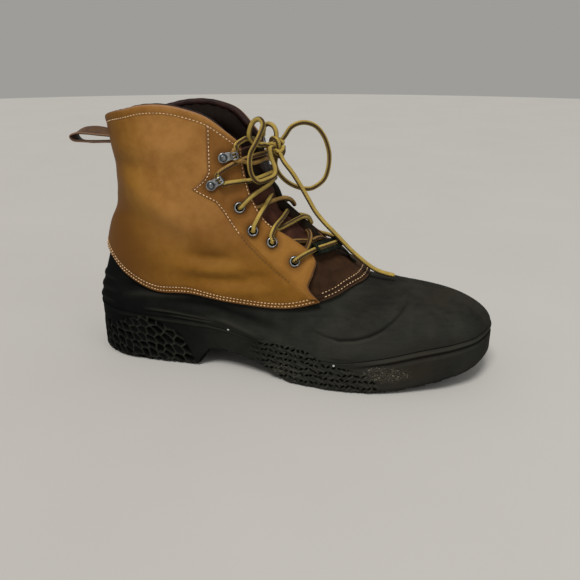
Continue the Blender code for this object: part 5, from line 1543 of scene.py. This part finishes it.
def plates(s, z):
    """The heel's lugs: slanting bars that stand along the borders of a jittered, leaning lattice's
    cells, with each cell sunk to its own depth between them, where the nearest and second nearest
    seed differ most. Returns rise, painted shade in the sunk cells, and the bars' crests, rubbed
    and with a painted highlight."""
    rng = np.random.default_rng(19)
    slant = s + 0.55 * z
    seeds = lattice(rng, (-1, 18), HEEL_PITCH, 0.30).reshape(-1, 2)
    depth = rng.choice([0.35, 0.75, 1.0, 1.2], len(seeds))
    near, second, number = np.full(s.shape, 9.0), np.full(s.shape, 9.0), np.zeros(s.shape, int)
    for k, (a, b) in enumerate(seeds):
        d = np.hypot(slant - a, z - b)
        second = np.where(d < near, near, np.minimum(second, d))
        number = np.where(d < near, k, number)
        near = np.minimum(near, d)
    gap = second - near
    sink = smooth(0.0009, 0.0030, gap) * depth[number]
    lump = 0.0011 * bell(near, 0.0013) * (depth[number] > 0.9)
    hollow_shade = np.clip(sink * 1.1, 0, 1) * (1 - 0.6 * bell(near, 0.0012))
    return 0.0003 - 0.0029 * sink + lump, hollow_shade, bell(gap, 0.0008)


def net(s, z):
    """The ball's net: thin ridges that zigzag from node to node of a staggered lattice, and beside
    each node two pits, rounded oblongs turned against each other. Returns rise, pit, which is also
    painted shade, and the ridges' crest, rubbed and with a painted highlight."""
    rng = np.random.default_rng(11)
    nodes = lattice(rng, (16, 40), NET_PITCH, 0.15)
    ridge, pit = np.zeros(s.shape), np.zeros(s.shape)
    for j, i in np.ndindex(nodes.shape[:2]):
        a = nodes[j, i]
        window = np.hypot(s - a[0], z - a[1]) < 0.0100
        if not window.any():
            continue
        ws, wz = s[window], z[window]
        best = np.full(ws.shape, 9.0)
        # To the next row: always to the node behind, and from every third node also ahead.
        behind = i if j % 2 else i - 1
        for k in (behind, behind + 1):
            if j + 1 < nodes.shape[0] and 0 <= k < nodes.shape[1] and (k == behind or (i + j) % 3 == 0):
                best = np.minimum(best, line_distance(ws, wz, [a, nodes[j + 1, k]])[0])
        ridge[window] = np.maximum(ridge[window], 1 - smooth(0.00015, 0.00060, best))
        for way in (-1, 1):
            lean = math.radians(38.0) * (1 if (i + j) % 2 else -1) * way
            c, d = math.cos(lean), math.sin(lean)
            ahead, over = ws - a[0] - way * 0.0020, wz - a[1]
            p, q = ahead * c + over * d, over * c - ahead * d
            shape = (np.abs(p) / 0.00150) ** 2.6 + (np.abs(q) / 0.00078) ** 2.6
            pit[window] = np.maximum(pit[window], 1 - smooth(0.55, 1.5, shape))
    return 0.00042 * ridge * (1 - pit) - 0.0024 * pit, pit, 0.55 * ridge * (1 - pit)


def sole_relief(s, x, z, base, top):
    """How far the outsole's side stands out at (length round the outline, station, height), with
    its cuts, painted dark as shade, and its crests, rubbed and with a painted highlight: plates at
    the heel up to their border, a smooth block at the breast, the net at the ball, one rib below the
    welt, and a bumper band round the toe."""
    share = (z - base) / np.maximum(top - base, 1e-6)
    heel = below(HEEL_PLATES, x, z, 0.0012)
    ball = ball_share(x, z)
    plate, plate_cut, plate_crest = plates(s, z)
    mesh, pit, ridge = net(s, z)
    wavy = 0.0004 * np.sin(s * 310 + z * 150) * np.sin(z * 420 + s * 90)
    total = heel * plate + ball * (mesh + wavy)
    total -= 0.0006 * bell(z - read(HEEL_PLATES, x, right=-1.0) - 0.0012, 0.0012)
    x = x / SOLE_LENGTH
    rib = bell(share - 0.945, 0.022) * (1 - smooth(0.34, 0.44, x)) * smooth(0.05, 0.14, x)
    toe = smooth(0.66, 0.76, x)
    total += 0.0008 * rib
    total += toe * (0.0010 * (1 - smooth(0.72, 0.80, share)) * smooth(0.05, 0.16, share)
                    + 0.0008 * bell(share - 0.93, 0.045) - 0.0010 * bell(share - 0.82, 0.035))
    cut = np.clip(heel * plate_cut + ball * pit + 0.7 * toe * bell(share - 0.82, 0.035), 0, 1)
    band_crest = 0.7 * toe * bell(share - 0.93, 0.04)
    return total, cut, np.clip(heel * plate_crest + ball * ridge + 0.6 * rib + band_crest, 0, 1)


def bed_height(x):
    """Height of the sole's inside, from the heel down to the ball and up to the toe."""
    return through(np.array([0.0, 0.31, 0.39, 0.45, 0.51, 0.58, 0.74, 0.83, 0.91, 1.0]) * SOLE_LENGTH,
                   np.array([28.0, 27.0, 25.5, 22.0, 17.5, 13.0, 13.0, 16.0, 21.5, 29.0]) / 1000, x)


def between(ring, share):
    """Rows of points from a closed ring's lateral half to its medial half."""
    half = len(ring) // 2
    share = share[:, None]
    return ring[1:half, None] * (1 - share) + ring[:half:-1, None] * share


def build_sole():
    """Outsole: the side as a wall with relief, the tread as a field of heights between both
    sides, and a rim and a footbed inside."""
    u = round_steps()
    count, rows = len(u), 44
    half = count // 2
    plan = outline(u, 0.0)
    welt = SHAFT_HEIGHT * same_both_sides("welt", u)
    share = np.linspace(0, 1, rows)[:, None]
    base = under_height(plan[:, 0])
    z = base + share * (welt - base)
    x = np.broadcast_to(plan[:, 0], z.shape)
    bulge, hollow_shade, crest_wear_and_sheen = sole_relief(np.broadcast_to(girth(u), z.shape), x, z, base, welt)
    fade = smooth(0.0, 0.06, share) * (1 - smooth(0.975, 1.0, share) * (1 - below(BALL_NET, x, z, 0.001)))
    inset = 0.0014 + 0.0020 * (1 - smooth(0.0, 0.07, share)) - 0.0006 * smooth(0.9, 1.0, share)
    inset = inset - bulge * np.maximum(fade, 0.55 * (share < 0.5))
    wall = np.stack([np.column_stack([outline(u, inset[k]), z[k]]) for k in range(rows)])
    wall[0, :, 2] += tread_pattern(wall[0, :, 0], wall[0, :, 1])
    wall[1, :, 2] += 0.6 * tread_pattern(wall[1, :, 0], wall[1, :, 1])
    t = np.linspace(0, 1, 78)[1:-1]
    t = 0.5 - 0.5 * np.cos(t * math.pi) * (1 - 0.35 * np.sin(t * math.pi) ** 2)
    tread = between(wall[0], t)
    cut = tread_pattern(tread[..., 0], tread[..., 1])
    tread[..., 2] = under_height(tread[..., 0]) + cut
    rim_plan = outline(u, RIM_WIDTH)
    bed_plan = outline(u, RIM_WIDTH + 0.0006)
    rings = np.concatenate([wall, [np.column_stack([rim_plan, welt])],
                            [np.column_stack([bed_plan, bed_height(bed_plan[:, 0])])]])
    total_rings = len(rings)
    index = np.arange(total_rings * count).reshape(total_rings, count)
    quads = [band(index)]
    inner = total_rings * count + np.arange(tread.shape[0] * tread.shape[1]).reshape(tread.shape[:2])
    strip = np.concatenate([index[0, 1:half][:, None], inner, index[0, :half:-1][:, None]], axis=1)
    quads.append(corners(strip).reshape(-1, 4)[:, ::-1])
    tris = []
    for row, tip in ((strip[0], index[0, 0]), (strip[-1], index[0, half])):
        fan = np.stack([np.full(len(row) - 1, tip), row[:-1], row[1:]], -1)
        tris.append(fan if tip == index[0, half] else fan[:, ::-1])
    top = index[-1]
    quads.append(np.stack([top[1:half - 1], top[2:half], top[:half + 1:-1], top[:half:-1][:half - 2]], -1))
    tris.append(np.array([[top[0], top[1], top[-1]], [top[half - 1], top[half], top[half + 1]]]))
    points = np.concatenate([rings.reshape(-1, 3), tread.reshape(-1, 3)])
    dark, pale = np.zeros(len(points)), np.zeros(len(points))
    dark[: rows * count], pale[: rows * count] = hollow_shade.ravel(), crest_wear_and_sheen.ravel()
    # Painted shade in the tread's cuts.
    dark[total_rings * count:] = (cut > 0.002).ravel() * 0.6
    finish_mesh("sole_unit", place(points), np.concatenate(quads), RUBBER, ["outsole"],
                np.concatenate(tris), fields={"hollow_shade": dark, "crest_wear_and_sheen": pale})


# Lines moulded into the rubber, on both sides: rise, width, tone (above 0 a pale line, rubbed and
# with a painted highlight; below 0 a dark line, painted shade in its groove) and the line in side
# view. Lengths are in tenths of a millimetre.
MOULDED = [
    (-11, 9, -0.9, [(1860, 408), (1960, 385), (2070, 380), (2180, 398), (2290, 432), (2375, 475),
        (2440, 520), (2500, 570), (2535, 610)]),
    (6, 12, 0.3, [(1880, 390), (2070, 362), (2190, 380), (2310, 416), (2400, 462)]),
    (-22, 36, -0.45, [(735, 530), (880, 527), (1075, 522), (1284, 465), (1461, 425), (1593, 394),
        (1720, 345)]),
    (12, 24, 0.45, [(1050, 430), (1193, 407), (1340, 365), (1450, 332)]),
    (10, 11, 0.75, [(529, 450), (727, 443), (899, 423), (1091, 404)]),
    (8, 9, 0.55, [(745, 412), (941, 397), (1108, 386)]),
    (-7, 12, -0.6, [(500, 425), (740, 427), (920, 409), (1100, 394)]),
    (13, 30, 0.5, [(341, 535), (492, 554), (726, 572), (880, 578)]),
    (-13, 30, -0.5, [(300, 600), (500, 620), (800, 610)]),
    (11, 16, 0.35, [(-20, 640), (100, 632), (240, 622)]),
    (11, 16, 0.35, [(-20, 552), (100, 546), (240, 538)]),
    (11, 16, 0.35, [(-20, 470), (100, 466), (240, 460)]),
    (-9, 10, -0.7, [(2020, 262), (2086, 250), (2265, 262), (2427, 283), (2588, 318), (2782, 350)]),
]


def shell_outside(u, t):
    """Side and toe of the rubber: a cubic from the welt to the top edge at each place round it,
    leaving upwards, arriving upwards at the sides and level over the toe."""
    foot = np.column_stack([outline(u, SHELL_INSET), SHAFT_HEIGHT * same_both_sides("welt", u) + GAP])
    edge_height, angle = SHAFT_HEIGHT * same_both_sides("edge", u), ring_angle(u)
    x = SOLE_LENGTH * same_both_sides("along", u)
    depth = LIP_SIDE + (LIP_FRONT - LIP_SIDE) * smooth(0.455 * SOLE_LENGTH, 0.535 * SOLE_LENGTH, x)
    top = layer(angle, edge_height, depth)
    rise = (top - foot)[:, 2:]
    toe = smooth(0.58 * SOLE_LENGTH, 0.86 * SOLE_LENGTH, x)[:, None]
    leave = np.array([0.0, 0.0, 1.0]) * rise * (1.0 + 1.2 * toe)
    climb = layer(angle, edge_height + 0.001, depth) - top
    climb = climb / climb[:, 2:] * rise
    level = (top - foot) * [1.0, 1.0, 0.0] * 0.50 + np.array([0.0, 0.0, 0.020])
    arrive = climb * (1 - toe) + level * toe
    t = np.asarray(t)[:, None, None]
    to_top = 3 * t**2 - 2 * t**3
    grid = (1 - to_top) * foot + to_top * top + (t**3 - 2 * t**2 + t) * leave + (t**3 - t**2) * arrive
    share = np.array([0.25, 0.5, 0.75, 1.0])[:, None]
    return np.concatenate([grid, layer(angle, edge_height + share * LIP_HEIGHT, depth)])


def build_shell():
    """Rubber bottom: moulded lines, soft dents over the toe cap, the foot of the ball's net, and an
    inner face behind a thicker side wall and a thinner lip."""
    u, rows = round_steps(), 68
    grid = shell_outside(u, np.linspace(0, 1, rows))
    along = np.roll(grid, -1, axis=1) - np.roll(grid, 1, axis=1)
    normal = unit(np.cross(along, np.gradient(grid, axis=0)))
    x, z = grid[..., 0], grid[..., 2]
    push, dark, pale = np.zeros(x.shape), np.zeros(x.shape), np.zeros(x.shape)
    for rise, width, tone, line in MOULDED:
        d, where = line_distance(x, z, tenths(line))
        ends = np.sin(np.pi * np.clip(where, 0.03, 0.97)) ** 0.5
        push += tenths(rise) * bell(d, tenths(width)) * ends
        (pale if tone > 0 else dark)[...] += abs(tone) * bell(d, tenths(width) * 0.8) * ends
    for cx, cz, reach, rise in ((0.205, 0.062, 0.018, -0.0013), (0.238, 0.066, 0.016, 0.0011),
                                (0.268, 0.055, 0.014, -0.0012), (0.176, 0.055, 0.016, 0.0009)):
        push += rise * bell(np.hypot(x - cx, z - cz), reach) * (grid[..., 1] < 0.02)
    foot = ball_share(x, z)
    mesh, pit, ridge = net(np.broadcast_to(girth(u), x.shape), z)
    level = np.linspace(0, 1, rows)
    keep = np.concatenate([smooth(0.0, 0.05, level) * (1 - smooth(0.93, 1.0, level)), np.zeros(4)])[:, None]
    outside = grid + normal * (push * keep + foot * mesh)[..., None]
    wall = np.repeat([SIDE_WALL, LIP_WALL], [rows - 1, 5])
    inside = grid - normal * wall[:, None, None]
    inside[0, :, 2] = grid[0, :, 2]
    picks = [rows + 3, rows, rows - 12, rows // 2, rows // 4, 0]
    top_round = (outside[-1] + inside[-1]) / 2 + [0, 0, 0.0006]
    rings = np.concatenate([outside, [top_round], inside[picks]])
    fields = {}
    for name, values in (("hollow_shade", dark * keep + foot * pit), ("crest_wear_and_sheen", pale * keep + foot * ridge)):
        fields[name] = np.zeros(rings.shape[:2])
        fields[name][: rows + 4] = np.clip(values, 0, 1)
    ring_solid("rubber_bottom", place(rings), RUBBER, ["rubber_shell"], fields, caps=False)


def build_footbed():
    """Felt insole: the CAD plate's plan with a worn-in heel and ball."""
    plan = between(outline(np.arange(200) / 200, RIM_WIDTH + 0.0012), np.linspace(0, 1, 40))
    x, y = plan[..., 0], plan[..., 1]
    worn = 0.0010 * (bell(np.hypot(x - 0.045, y), 0.022) + bell(np.hypot(x - 0.215, y - 0.005), 0.030))
    middle = np.dstack([plan, bed_height(x) + 0.0026 - worn * 0.5])
    sheet("footbed", middle, np.zeros(middle.shape) + [0.0, 0.0, 1.0], 0.0019 - worn * 0.5, 0.0018,
          FELT, ["insole"])


build_sole()
build_shell()
build_footbed()
